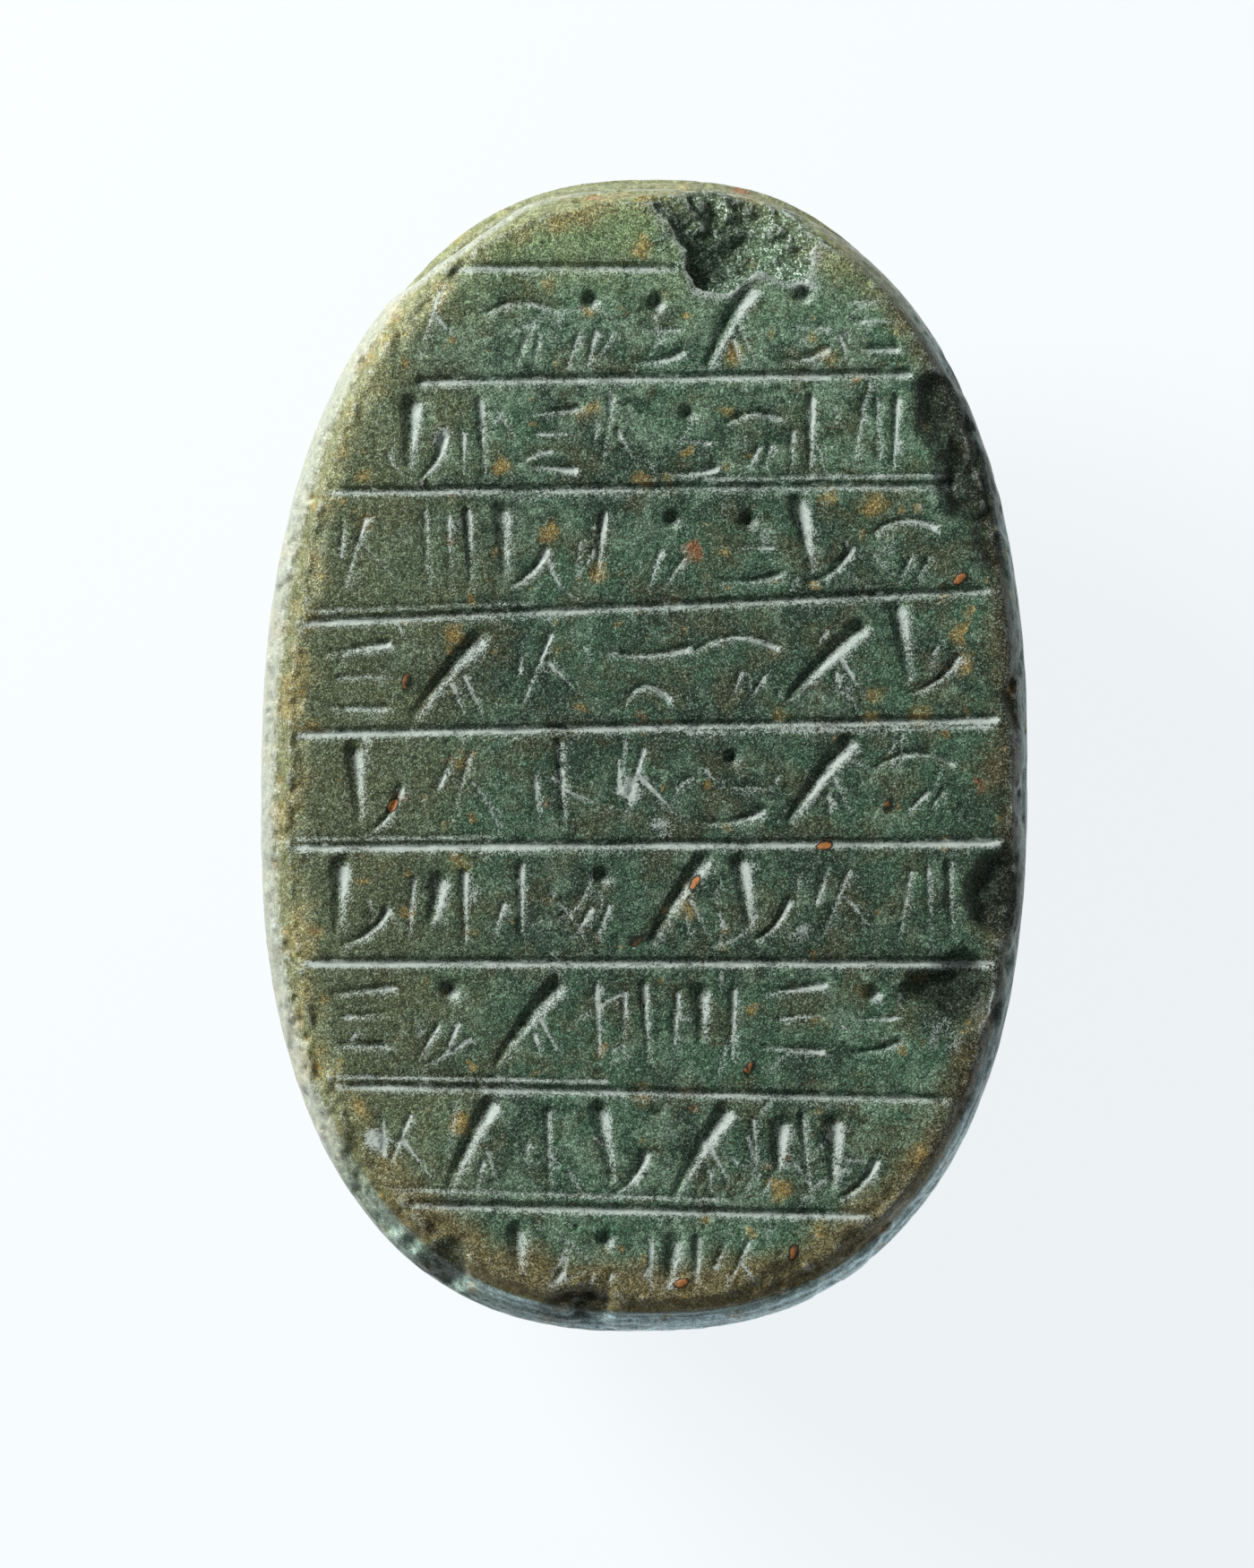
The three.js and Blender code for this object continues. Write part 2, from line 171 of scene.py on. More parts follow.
# The width and depth of a cut, and how much powder is left in it
Weight = namedtuple("Weight", "width depth dust")
RULE_WEIGHT = Weight(0.62, 0.34, 0.62)
SECOND_WEIGHT = Weight(0.36, 0.12, 0.42)
BOLD = Weight(1.3, 0.48, 0.72)
PLAIN = Weight(0.62, 0.28, 0.72)
FINE = Weight(0.38, 0.15, 0.7)
PIT = Weight(1.2, 0.6, 0.5)
SCRATCH = Weight(0.3, 0.08, 0.55)

# A mark is a few separate strokes in a cell that runs from -0.5 to 0.5 both ways: the thin
# end's x and y, the thick end's, a weight, and how far the stroke bows. A pit is one point.
MARKS = {
    "s": (
        (-0.44, -0.46, 0.26, 0.46, BOLD, 0.03),
        (0.34, -0.46, 0.1, 0.02, FINE, 0),
        (0.08, -0.46, 0.02, -0.14, FINE, 0),
    ),
    "h": ((-0.26, -0.3, -0.3, 0.44, BOLD, 0), (-0.18, -0.46, 0.32, -0.02, PLAIN, -0.1)),
    "v": ((-0.04, -0.46, 0.02, 0.42, PLAIN, 0), (-0.34, -0.4, -0.3, 0.06, FINE, 0)),
    "b": (
        (-0.4, 0.32, 0.4, 0.38, PLAIN, 0),
        (0.36, 0.08, -0.2, 0.04, FINE, 0),
        (-0.4, -0.28, 0.36, -0.34, PLAIN, 0),
    ),
    "a": (
        (-0.46, 0.14, 0.46, 0.2, PLAIN, 0.16),
        (-0.06, -0.44, 0.1, -0.12, FINE, 0),
        (0.18, -0.44, 0.34, -0.12, FINE, 0),
    ),
    "t": (
        (0.04, 0.34, PIT),
        (-0.34, -0.44, -0.14, -0.04, FINE, 0),
        (-0.06, -0.44, 0.14, -0.04, FINE, 0),
    ),
    "d": (
        (0.0, 0.32, PIT),
        (-0.32, 0.0, 0.34, -0.02, FINE, 0),
        (-0.4, -0.4, 0.38, -0.3, PLAIN, -0.07),
    ),
    "w": ((-0.46, 0.18, 0.44, 0.28, PLAIN, -0.06), (-0.28, -0.44, 0.3, -0.4, PLAIN, 0.34)),
    "u": (
        (-0.38, -0.4, -0.34, 0.36, FINE, 0),
        (0.38, -0.4, 0.34, 0.4, PLAIN, 0),
        (-0.06, -0.16, 0.0, 0.32, BOLD, 0),
    ),
    "g": (
        (-0.34, -0.44, -0.3, 0.42, FINE, 0),
        (0.0, -0.44, 0.02, 0.36, FINE, 0),
        (0.26, -0.4, 0.32, 0.4, PLAIN, 0),
    ),
    "n": (
        (-0.36, -0.44, 0.0, 0.4, FINE, 0),
        (0.38, -0.34, -0.06, 0.1, FINE, 0),
        (-0.3, 0.44, -0.4, 0.0, FINE, 0),
    ),
}
SCRATCH_COUNT = 120

# Scuffs of powdered stone on the face: x, y and radius
SCUFFS = (
    (0.9, -3.9, 1.0),
    (-0.7, -1.9, 1.1),
    (-10.4, 16.2, 0.9),
    (6.3, 11.0, 0.8),
    (-5.2, 4.6, 0.9),
    (10.4, 3.4, 0.8),
    (-9.2, -7.4, 0.9),
    (8.2, -9.4, 1.0),
    (15.4, -14.5, 1.5),
    (1.3, -27.5, 0.9),
    (-11.8, -14.2, 0.9),
    (3.4, -20.4, 0.8),
    (-4.4, 21.9, 1.0),
    (12.6, 10.6, 0.8),
    (-14.0, -20.2, 1.2),
)
# Fine ridges along the wall
STREAK_PITCH = 0.34
STREAK_RISE = 0.035

# Powder in a cut is shifted onto the wall that faces the key lamp, a painted highlight on the
# crushed stone: the shift, as a share of the cut's width, and how much wider than the cut it is
LIT_WALL_SHIFT = (0.19, -0.19)
POWDER_SPILL = 0.16

# Breaks in the edge of the base: the middle, the half sizes, a turn in degrees about Z, and
# how much painted shade darkens it. A fresh break is sharp, and the others are worn hollows.
Chip = namedtuple("Chip", "at size turn dirt fresh")
CHIPS = (
    Chip((5.2, 27.5, 23.5), (4.0, 2.7, 1.6), -12, 0.0, True),
    Chip((4.6, 26.0, 23.2), (2.9, 1.8, 1.4), 24, 0.1, True),
    Chip((3.2, 28.6, 23.2), (0.9, 1.6, 1.6), 12, 0.3, True),
    Chip((15.6, 17.6, 23.9), (2.0, 2.4, 1.3), 26, 0.8, False),
    Chip((17.0, 14.1, 23.8), (1.9, 3.0, 1.3), 18, 0.7, False),
    Chip((18.3, 11.0, 23.8), (1.5, 2.3, 1.1), 12, 0.3, False),
    Chip((18.6, -7.3, 23.8), (2.0, 2.3, 1.4), -24, 0.9, False),
    Chip((16.2, -12.2, 23.9), (2.5, 1.9, 1.6), -10, 0.8, False),
    Chip((-10.6, -26.4, 23.6), (1.7, 1.2, 0.9), 32, 0.9, False),
    Chip((-3.6, -28.6, 23.5), (2.2, 1.0, 1.0), 8, 0.6, False),
    Chip((-18.5, 7.4, 24.0), (0.9, 1.7, 0.8), -8, 0.1, False),
    Chip((-19.0, -3.0, 24.0), (1.0, 2.6, 0.8), 2, 0.2, False),
)
FRESH = [index for index, chip in enumerate(CHIPS) if chip.fresh]
WORN = [index for index, chip in enumerate(CHIPS) if not chip.fresh]
CHIP_FACETS = 34
CHIP_REACH = 0.8
LIP_WIDTH = 0.5
# The breaks have rubbed edges: how far from them the stone is smoothed, and how often
CHIP_SOFTNESS = 0.9
SOFTENING = 12
EASING = 14

# Lines cut in the back
BACK_LINE = Weight(1.0, 0.55, 0)
FOREBODY_Y = 5.4
FOREBODY_BOW = 1.8
HEAD_Y = 18.2
HEAD_BOW = -1.6
HEAD_HALF = 9.6
CHEEK_X = 4.6
SEAM_END = 2.2 - BACK.tail
NOTCH_X = 12.8
NOTCH_END = FOREBODY_Y - 6

# Crumbs of brown wax caught in the strokes: x, y and a turn in degrees
CRUMB_HALF = (0.5, 0.26)
CRUMB_RISE = 0.14
CRUMBS = (
    (-12.3, 3.7, 80),
    (-13.0, -2.7, 55),
    (12.6, -2.7, 62),
    (16.3, 9.0, 40),
    (5.4, -16.3, 48),
    (2.6, -6.7, 58),
    (-0.4, -9.7, 30),
    (9.3, -4.8, 12),
    (1.9, -27.4, 20),
    (7.7, -25.8, 70),
)

# The finish: grains and shards to the millimetre, the marks that the carving leaves for it, and
# the spots: a colour, cells to the millimetre, the share of cells that have a spot, its largest
# radius and its softness as shares of a cell, and how strong it is
GRAINS = 17.0
SHARDS = 8.5
ATTRIBUTES = ("inset", "depth", "broken", "cut", "crumb", "dust_and_highlight", "dirt", "ledge", "crest_highlight", "hollow")
SPOTS = (
    ("ochre", 0.42, 0.55, 0.42, 0.3, 0.6),
    ("ochre", 0.9, 0.42, 0.42, 0.3, 0.5),
    ("rust", 0.4, 0.2, 0.3, 0.22, 0.75),
)
SPOT_BLUR = 0.1

LATTICE_SIZE = 64
LATTICE = np.random.default_rng(7).uniform(-1, 1, (LATTICE_SIZE,) * 3)
RING_SIDES = 288
RING_ANGLES = np.arange(RING_SIDES) * PI2 / RING_SIDES
EDGE_RINGS = 8
WALL_RINGS = 3
BACK_RINGS = 40
LEG_SIDES = 20
LEG_STEPS = 28
# How much sooner the sides and back lose their finest facets than the engraved face, and the
# depth where that starts
PLAIN_BACK = 0.002
PLAIN_DEPTH = 3.4


# The stage, in metres
Lamp = namedtuple("Lamp", "at size colour")
KEY_LAMP = Lamp((-0.36, 0.26, 0.24), 0.24, (1.0, 0.99, 0.97))
FILL_LAMP = Lamp((0.4, -0.1, 0.35), 0.5, (0.93, 0.97, 1.0))
ROOM_COLOUR = (0.93, 0.96, 1.0, 1)
ROOM_LIGHT = 0.12
CAMERA_OVER = (-0.0009, -0.0016)
SENSOR_WIDTH = 36


# ---- Number helpers ----


def scatter(n):
    """A repeatable number from 0 to 1 for the n-th use of a small irregularity."""
    v = math.sin(n * 12.9898 + 4.1414) * 43758.5453
    return v - math.floor(v)


def signed_power(v, exponent):
    return np.sign(v) * np.abs(v) ** exponent


def smooth(v, start, end):
    """0 before start, 1 past end and a smooth rise between."""
    share = np.clip((v - start) / (end - start), 0, 1)
    return share * share * (3 - 2 * share)


def lump_noise(points, pitch, seed, layers=1):
    """Smooth noise from about -1 to 1, with finer layers at half the pitch and height."""
    total = np.zeros(len(points))
    height = 1.0
    for layer in range(layers):
        scaled = points / (pitch / 2**layer)
        cell = np.floor(scaled).astype(np.int64)
        f = scaled - cell
        f = f * f * (3 - 2 * f)
        cell = (cell + (seed + layer) * np.array((17, 31, 47))) % LATTICE_SIZE
        after = (cell + 1) % LATTICE_SIZE
        sides = [(cell[:, axis], after[:, axis]) for axis in range(3)]
        slabs = []
        low, high = sides[2]
        for x in sides[0]:
            rows = [LATTICE[x, y, low] * (1 - f[:, 2]) + LATTICE[x, y, high] * f[:, 2] for y in sides[1]]
            slabs.append(rows[0] * (1 - f[:, 1]) + rows[1] * f[:, 1])
        total += height * (slabs[0] * (1 - f[:, 0]) + slabs[1] * f[:, 0])
        height /= 2
    return total


def noise_where(amount, points, pitch, seed, layers=1):
    """The same noise, worked out only where an amount is above nothing."""
    values = np.zeros(len(points))
    here = amount > 0
    values[here] = lump_noise(points[here], pitch, seed, layers)
    return values


# ---- The form, as in the solid ----


def oval_points(oval, angles):
    side = signed_power(np.sin(angles), 2 / OVAL_POWER)
    y = WIDEST_Y + side * np.where(side > 0, oval.front, oval.tail)
    x = oval.half * signed_power(np.cos(angles), 2 / OVAL_POWER)
    return np.stack((x + oval.shift + LEAN * y, y), axis=1)


def oval_measure(oval, x, y):
    """Under 1 inside the oval, 1 on it and more outside."""
    reach = np.where(y > WIDEST_Y, oval.front, oval.tail)
    across = np.abs((x - oval.shift - LEAN * y) / np.maximum(oval.half, 1e-6)) ** OVAL_POWER
    return across + np.abs((y - WIDEST_Y) / np.maximum(reach, 1e-6)) ** OVAL_POWER


def oval_reach(oval, y):
    """Half the oval's width at y."""
    reach = oval.front if y > WIDEST_Y else oval.tail
    left = max(1 - abs((y - WIDEST_Y) / reach) ** OVAL_POWER, 0)
    return oval.half * left ** (1 / OVAL_POWER)


def blend_ovals(a, b, share):
    return Oval(*(one + (other - one) * share for one, other in zip(a, b)))


def back_oval(depth):
    share = (depth - RIM_DEPTH) / (HEIGHT + FLAT_SPOT_CUT - RIM_DEPTH)

    def draw(fall, roundness):
        return np.maximum(1 - np.maximum(share, 0) ** fall, 0) ** (1 / roundness)

    half, front, tail, shift = BACK
    return Oval(half * draw(*BACK_SIDE), front * draw(*BACK_HEAD), tail * draw(*BACK_TAIL), shift)


def head_dropped(y, depth):
    """The edge of the back comes nearer the base towards the head, and its crown doesn't."""
    share = np.clip((depth - RIM_DEPTH) / (HEIGHT - RIM_DEPTH), 0, 1)
    return depth - HEAD_DROP * smooth(y, HEAD_DROP_FROM, HEAD_DROP_TO) * (1 - share)


def chord_excess(points):
    """How far points of the plan lie outside the rubbed-off corner, and which way is out."""
    along = (CHORD_TO - CHORD_FROM) / np.linalg.norm(CHORD_TO - CHORD_FROM)
    outward = np.array((-along[1], along[0]))
    return (points - CHORD_FROM) @ outward, outward


def base_ring(oval, depth):
    plan = oval_points(oval, RING_ANGLES)
    excess, outward = chord_excess(plan)
    plan = plan - np.maximum(excess, 0)[:, None] * outward
    return np.column_stack((plan, np.full(len(plan), HEIGHT - depth)))


def back_ring(oval, depth):
    plan = oval_points(oval, RING_ANGLES)
    return np.column_stack((plan, HEIGHT - head_dropped(plan[:, 1], depth)))


def form_rings():
    """The rings of the blank, from the engraved face to the flat spot on the back."""
    rings = []
    for i in range(EDGE_RINGS + 1):
        share = i / EDGE_RINGS
        oval = blend_ovals(FACE, BASE, 1 - (1 - share) ** EDGE_POWER)
        rings.append(base_ring(oval, EDGE_DROP * share))
    for i in range(1, WALL_RINGS + 1):
        depth = EDGE_DROP + (BASE_THICK - 0.5 - EDGE_DROP) * i / WALL_RINGS
        rings.append(base_ring(BASE, depth))
    rings.append(base_ring(blend_ovals(BASE, WAIST, 0.25), BASE_THICK))
    rings.append(base_ring(WAIST, WAIST_TOP))
    rings.append(back_ring(WAIST, WAIST_END))
    rings.append(back_ring(blend_ovals(WAIST, BACK, 0.75), WAIST_END + 0.3))
    for i in range(BACK_RINGS + 1):
        depth = RIM_DEPTH + (HEIGHT - RIM_DEPTH) * math.sin(math.pi / 2 * i / BACK_RINGS)
        rings.append(back_ring(back_oval(depth), depth))
    return rings


def chip_radius(index, directions):
    """How far a broken lump reaches in each direction, as a share of its half sizes."""
    k = np.arange(CHIP_FACETS)
    lift = 1 - 2 * (k + 0.5) / CHIP_FACETS
    turn = k * math.pi * (3 - math.sqrt(5)) + index
    flat = np.sqrt(1 - lift * lift)
    normals = np.column_stack((flat * np.cos(turn), flat * np.sin(turn), lift))
    reach = np.array([0.78 + 0.3 * scatter(index * 31 + facet) for facet in k])
    facing = np.maximum(directions @ normals.T, 0.05)
    radius = (reach / facing).min(axis=1)
    ragged = 0.22 * lump_noise(directions + index, 0.7, 7, 3)
    return radius * (1 + ragged)


def chip_share(chip, points):
    """Points as seen from the middle of a chip, in shares of its half sizes."""
    turn = math.radians(-chip.turn)
    local = points - np.array(chip.at)
    turned = np.column_stack(
        (
            local[:, 0] * math.cos(turn) - local[:, 1] * math.sin(turn),
            local[:, 0] * math.sin(turn) + local[:, 1] * math.cos(turn),
            local[:, 2],
        )
    )
    return turned / np.array(chip.size)


def near_chip(places, chip, reach):
    return np.nonzero(np.all(np.abs(places - np.array(chip.at)) < reach, axis=1))[0]


def chip_measure(index, points):
    """How far points lie outside one chip, in millimetres. It is negative inside."""
    chip = CHIPS[index]
    share = chip_share(chip, points)
    length = np.maximum(np.linalg.norm(share, axis=1), 1e-6)
    return (length - chip_radius(index, share / length[:, None])) * min(chip.size)


def worn_hollow(places):
    """How deep the worn breaks lie under the fresh surface."""
    depth = np.zeros(len(places))
    for index in WORN:
        chip = CHIPS[index]
        near = near_chip(places, chip, 1.6 * max(chip.size))
        share = chip_share(chip, places[near])[:, :2]
        ragged = 0.3 * lump_noise(places[near] + index, 1.7, 61, 3)
        fall = 1 - smooth(np.linalg.norm(share, axis=1) + ragged, 0.5, 1.1)
        fall *= smooth(rim_distance(places[near, :2]), -0.9, 0.1)
        full = 0.6 * (HEIGHT - chip.at[2] + chip.size[2])
        depth[near] = np.maximum(depth[near], fall * full)
    return depth


# ---- Strokes ----


def stroke_points(thin, thick, bow):
    """Points along a stroke that bows to its left, each with its share of the full width."""
    steps = 1 if bow == 0 else 7
    along = np.subtract(thick, thin)
    left = np.array((-along[1], along[0]))
    share = np.arange(steps + 1) / steps
    points = np.array(thin) + share[:, None] * along + (4 * bow * share * (1 - share))[:, None] * left
    return points, THIN_END + (1 - THIN_END) * share


def rule_strokes(rules, weight):
    strokes = []
    for rule in rules:
        rise = math.tan(math.radians(rule.slope))
        ends = np.array([(x, rule.y + rise * x) for x in (rule.start, rule.end)])
        strokes.append((ends, np.ones(2), weight))
    return strokes


def mark_strokes():
    strokes = []
    for r, row in enumerate(ROWS):
        cell = (row.end - row.start) / len(row.marks)
        rise = math.tan(math.radians(RULES[r].slope))
        for c, kind in enumerate(row.marks):
            seed = r * 17 + c * 3
            x = row.start + cell * (c + 0.5) + (scatter(seed) - 0.5) * 0.5
            y = RULES[r].y + rise * x - ROW_DROP + (scatter(seed + 1) - 0.5) * 0.3
            tall = MARK_HEIGHT * (0.92 + 0.16 * scatter(seed + 2))
            for part in MARKS[kind]:
                if len(part) == 3:
                    u, v, weight = part
                    at = np.array(((x + u * cell * 0.92, y + v * tall),) * 2)
                    strokes.append((at, np.ones(2), weight))
                else:
                    u0, v0, u1, v1, weight, bow = part
                    slip = (scatter(seed + u0 * 7 + v1 * 11) - 0.5) * 2 * HAND_SLIP
                    thin = (x + u0 * cell * 0.92 + slip, y + v0 * tall)
                    thick = (x + u1 * cell * 0.92 - slip, y + v1 * tall + slip)
                    strokes.append((*stroke_points(thin, thick, bow), weight))
    return strokes


def scratch_strokes():
    """Short stray scratches, most of them in the rows of marks."""
    strokes = []
    for k in range(SCRATCH_COUNT):
        seed = 500 + k * 5
        row = k % len(ROWS)
        x = ROWS[row].start + (ROWS[row].end - ROWS[row].start) * scatter(seed)
        y = RULES[row].y - ROW_DROP + (scatter(seed + 1) - 0.5) * MARK_HEIGHT
        turn = math.radians(20 + 140 * scatter(seed + 2))
        half = 0.4 + 1.6 * scatter(seed + 3) ** 2
        step = np.array((math.cos(turn), math.sin(turn))) * half
        bow = (scatter(seed + 4) - 0.5) * 0.5
        strokes.append((*stroke_points((x, y) - step, (x, y) + step, bow), SCRATCH))
    return strokes


def all_strokes():
    ruled = rule_strokes(RULES, RULE_WEIGHT) + rule_strokes(SECOND_RULES, SECOND_WEIGHT)
    return ruled + mark_strokes() + scratch_strokes()


def cut_depth(plan, strokes):
    """How deep the strokes cut at each point of the plan."""
    depth = np.zeros(len(plan))
    for points, shares, weight in strokes:
        for i in range(len(points) - 1):
            a, b = points[i], points[i + 1]
            margin = weight.width / 2
            low = np.minimum(a, b) - margin
            high = np.maximum(a, b) + margin
            near = np.nonzero(np.all((plan > low) & (plan < high), axis=1))[0]
            if not len(near):
                continue
            along = b - a
            reach = max(float(along @ along), 1e-9)
            t = np.clip((plan[near] - a) @ along / reach, 0, 1)
            away = np.linalg.norm(plan[near] - a - t[:, None] * along, axis=1)
            share = shares[i] + (shares[i + 1] - shares[i]) * t
            wall = np.clip(1 - away / (margin * share), 0, 1)
            cut = weight.depth * share * (0.4 * wall + 0.6 * smooth(wall, 0, 1))
            depth[near] = np.maximum(depth[near], cut)
    return depth


def dust_and_highlight_amount(plan, strokes):
    """How much crushed stone lies at each point of the plan, from 0 to 1, shifted onto the lit wall of
    each cut as a painted highlight.
    """
    dusted = []
    for k, (points, shares, weight) in enumerate(strokes):
        shifted = points + np.array(LIT_WALL_SHIFT) * weight.width
        dust = weight.dust * (0.75 + 0.5 * scatter(900 + k))
        dusted.append((shifted, shares, Weight(0.8 * weight.width + POWDER_SPILL, dust, 0)))
    amount = cut_depth(plan, dusted)
    level = np.column_stack((plan, np.zeros(len(plan))))
    speckle = 0.4 + 0.5 * lump_noise(level, 0.7, 151, 3)
    for x, y, radius in SCUFFS:
        away = np.hypot(plan[:, 0] - x, plan[:, 1] - y) / radius
        amount = np.maximum(amount, speckle * (1 - smooth(away, 0.1, 1.0)))
    return amount * (1 + 0.35 * lump_noise(level, 2.2, 141, 2))


def rim_distance(plan):
    """How far points of the plan lie inside the edge of the engraved face."""
    x, y = plan[:, 0], plan[:, 1]
    share = np.maximum(oval_measure(FACE, x, y) ** (1 / OVAL_POWER), 1e-3)
    out = np.hypot(x - FACE.shift, y - WIDEST_Y)
    excess, _ = chord_excess(plan)
    return np.minimum(out * (1 / share - 1), -excess)


def crumb_rise(plan):
    """A low mound over each crumb, from 0 to 1."""
    rise = np.zeros(len(plan))
    for x, y, turn in CRUMBS:
        angle = math.radians(turn)
        local = plan - np.array((x, y))
        along = local @ np.array((math.cos(angle), math.sin(angle))) / CRUMB_HALF[0]
        across = local @ np.array((-math.sin(angle), math.cos(angle))) / CRUMB_HALF[1]
        rise = np.maximum(rise, 1 - np.hypot(along, across))
    return np.sqrt(np.clip(rise, 0, 1))


def back_line_depth(points):
    """How deep the lines of the back are cut: wing cases, forebody and head."""
    x, y = points[:, 0] - LEAN * points[:, 1], points[:, 1]
    width, depth, _ = BACK_LINE
    forebody = FOREBODY_Y - FOREBODY_BOW * (1 - (x / (BACK.half - 0.9)) ** 2)
    head = HEAD_Y - HEAD_BOW * (x / HEAD_HALF) ** 2
    cheek = CHEEK_X * (1 - 0.25 * smooth(y, HEAD_Y, 28))
    lines = [
        (np.abs(y - forebody), np.abs(x) < BACK.half),
        (np.abs(y - head), np.abs(x) < HEAD_HALF),
        (np.abs(x), (y < FOREBODY_Y - FOREBODY_BOW) & (y > SEAM_END)),
        (np.abs(np.abs(x) - cheek), y > HEAD_Y),
        (np.abs(np.abs(x) - NOTCH_X - 0.5 * (y - NOTCH_END)), (y < FOREBODY_Y - 0.8) & (y > NOTCH_END)),
    ]
    cut = np.zeros(len(points))
    for away, where in lines:
        wall = np.clip(1 - away / (width / 2), 0, 1) * where
        cut = np.maximum(cut, depth * wall)
    on_back = smooth(HEIGHT - points[:, 2], RIM_DEPTH - HEAD_DROP + 0.2, RIM_DEPTH - HEAD_DROP + 2.2)
    return cut * on_back


# ---- Mesh helpers ----


def start_clean():
    """Object mode with nothing selected."""
    if bpy.context.object and bpy.context.object.mode != "OBJECT":
        bpy.ops.object.mode_set(mode="OBJECT")
    bpy.ops.object.select_all(action="DESELECT")


def place_ring(mesh, ring):
    """Moves the selected ring of vertices to its points, in the order they were first made."""
    edit = bmesh.from_edit_mesh(mesh)
    order = edit.verts.layers.int["order"]
    for vert in edit.verts:
        if vert.select:
            vert.co = ring[vert[order]]
    bmesh.update_edit_mesh(mesh)


def lofted(name, rings):
    """A closed skin through rings of points: one flat disc, extruded ring by ring."""
    start_clean()
    bpy.ops.mesh.primitive_circle_add(vertices=len(rings[0]), radius=1, fill_type="NGON")
    piece = bpy.context.object
    piece.name = piece.data.name = name
    order = piece.data.attributes.new("order", "INT", "POINT")
    order.data.foreach_set("value", list(range(len(rings[0]))))
    bpy.ops.object.mode_set(mode="EDIT")
    bpy.ops.mesh.select_all(action="SELECT")
    place_ring(piece.data, rings[0])
    for ring in rings[1:]:
        bpy.ops.mesh.extrude_region_move()
        place_ring(piece.data, ring)
    bpy.ops.mesh.select_all(action="SELECT")
    bpy.ops.mesh.normals_make_consistent(inside=False)
    bpy.ops.object.mode_set(mode="OBJECT")
    return piece


def apply_modifier(piece, kind, **settings):
    start_clean()
    bpy.context.view_layer.objects.active = piece
    piece.select_set(True)
    modifier = piece.modifiers.new(kind.title(), kind)
    for key, value in settings.items():
        setattr(modifier, key, value)
    bpy.ops.object.modifier_apply(modifier=modifier.name)


def vertex_places(piece):
    places = np.empty(len(piece.data.vertices) * 3)
    piece.data.vertices.foreach_get("co", places)
    return places.reshape(-1, 3)


def vertex_normals(piece):
    normals = np.empty(len(piece.data.vertices) * 3)
    piece.data.vertex_normals.foreach_get("vector", normals)
    return normals.reshape(-1, 3)


def edge_ends(piece):
    ends = np.empty(len(piece.data.edges) * 2, dtype=np.int64)
    piece.data.edges.foreach_get("vertices", ends)
    return ends[0::2], ends[1::2]


def neighbour_mean(ends, values):
    """The mean of a value over the vertices that share an edge with each vertex."""
    a, b = ends
    size = len(values)
    count = np.bincount(a, minlength=size) + np.bincount(b, minlength=size)
    return (np.bincount(a, values[b], size) + np.bincount(b, values[a], size)) / np.maximum(count, 1)


def eased_normals(piece, rounds):
    """Normals averaged over the neighbours, so that moving along them leaves no folds."""
    ends = edge_ends(piece)
    normals = vertex_normals(piece)
    for _ in range(rounds):
        normals += np.column_stack([neighbour_mean(ends, normals[:, axis]) for axis in range(3)])
        normals /= np.linalg.norm(normals, axis=1)[:, None]
    return normals


def move_vertices(piece, places):
    piece.data.vertices.foreach_set("co", places.ravel())
    piece.data.update()


def weigh(piece, name, values):
    """A vertex group with a weight for each vertex, in steps of a quarter."""
    group = piece.vertex_groups.new(name=name)
    for step in (0.25, 0.5, 0.75, 1.0):
        group.add(np.nonzero(np.abs(values - step) < 0.125)[0].tolist(), step, "REPLACE")
    return name


# ---- Settings ----


def paint(red, green, blue):
    """A colour given as it looks, from 0 to 255, as the linear values a shader reads."""

    def linear(value):
        share = value / 255
        return share / 12.92 if share <= 0.04045 else ((share + 0.055) / 1.055) ** 2.4

    return (linear(red), linear(green), linear(blue))


def colour_setting(name, description, default):
    return FloatVectorProperty(
        name=name, description=description, default=default, size=3, min=0, max=1, subtype="COLOR"
    )


def number_setting(name, description, default, **limits):
    return FloatProperty(name=name, description=description, default=default, **limits)


class ScarabStoneSettings(bpy.types.PropertyGroup):
    """Sizes of the carving that a carver would change."""

    grain: number_setting(
        "Carving grain", "Size of the smallest facet of the stone, in millimetres", 0.125, min=0.1, max=1
    )
    most_triangles: IntProperty(
        name="Most triangles", description="Triangles left on the stone", default=192000, min=5000
    )
    cut_strength: number_setting("Cut strength", "Depth of the strokes, 1 as cut", 1.0, min=0, max=2)
    wear: number_setting("Wear", "How ragged the edge of the base is, 1 as found", 1.0, min=0, max=2)


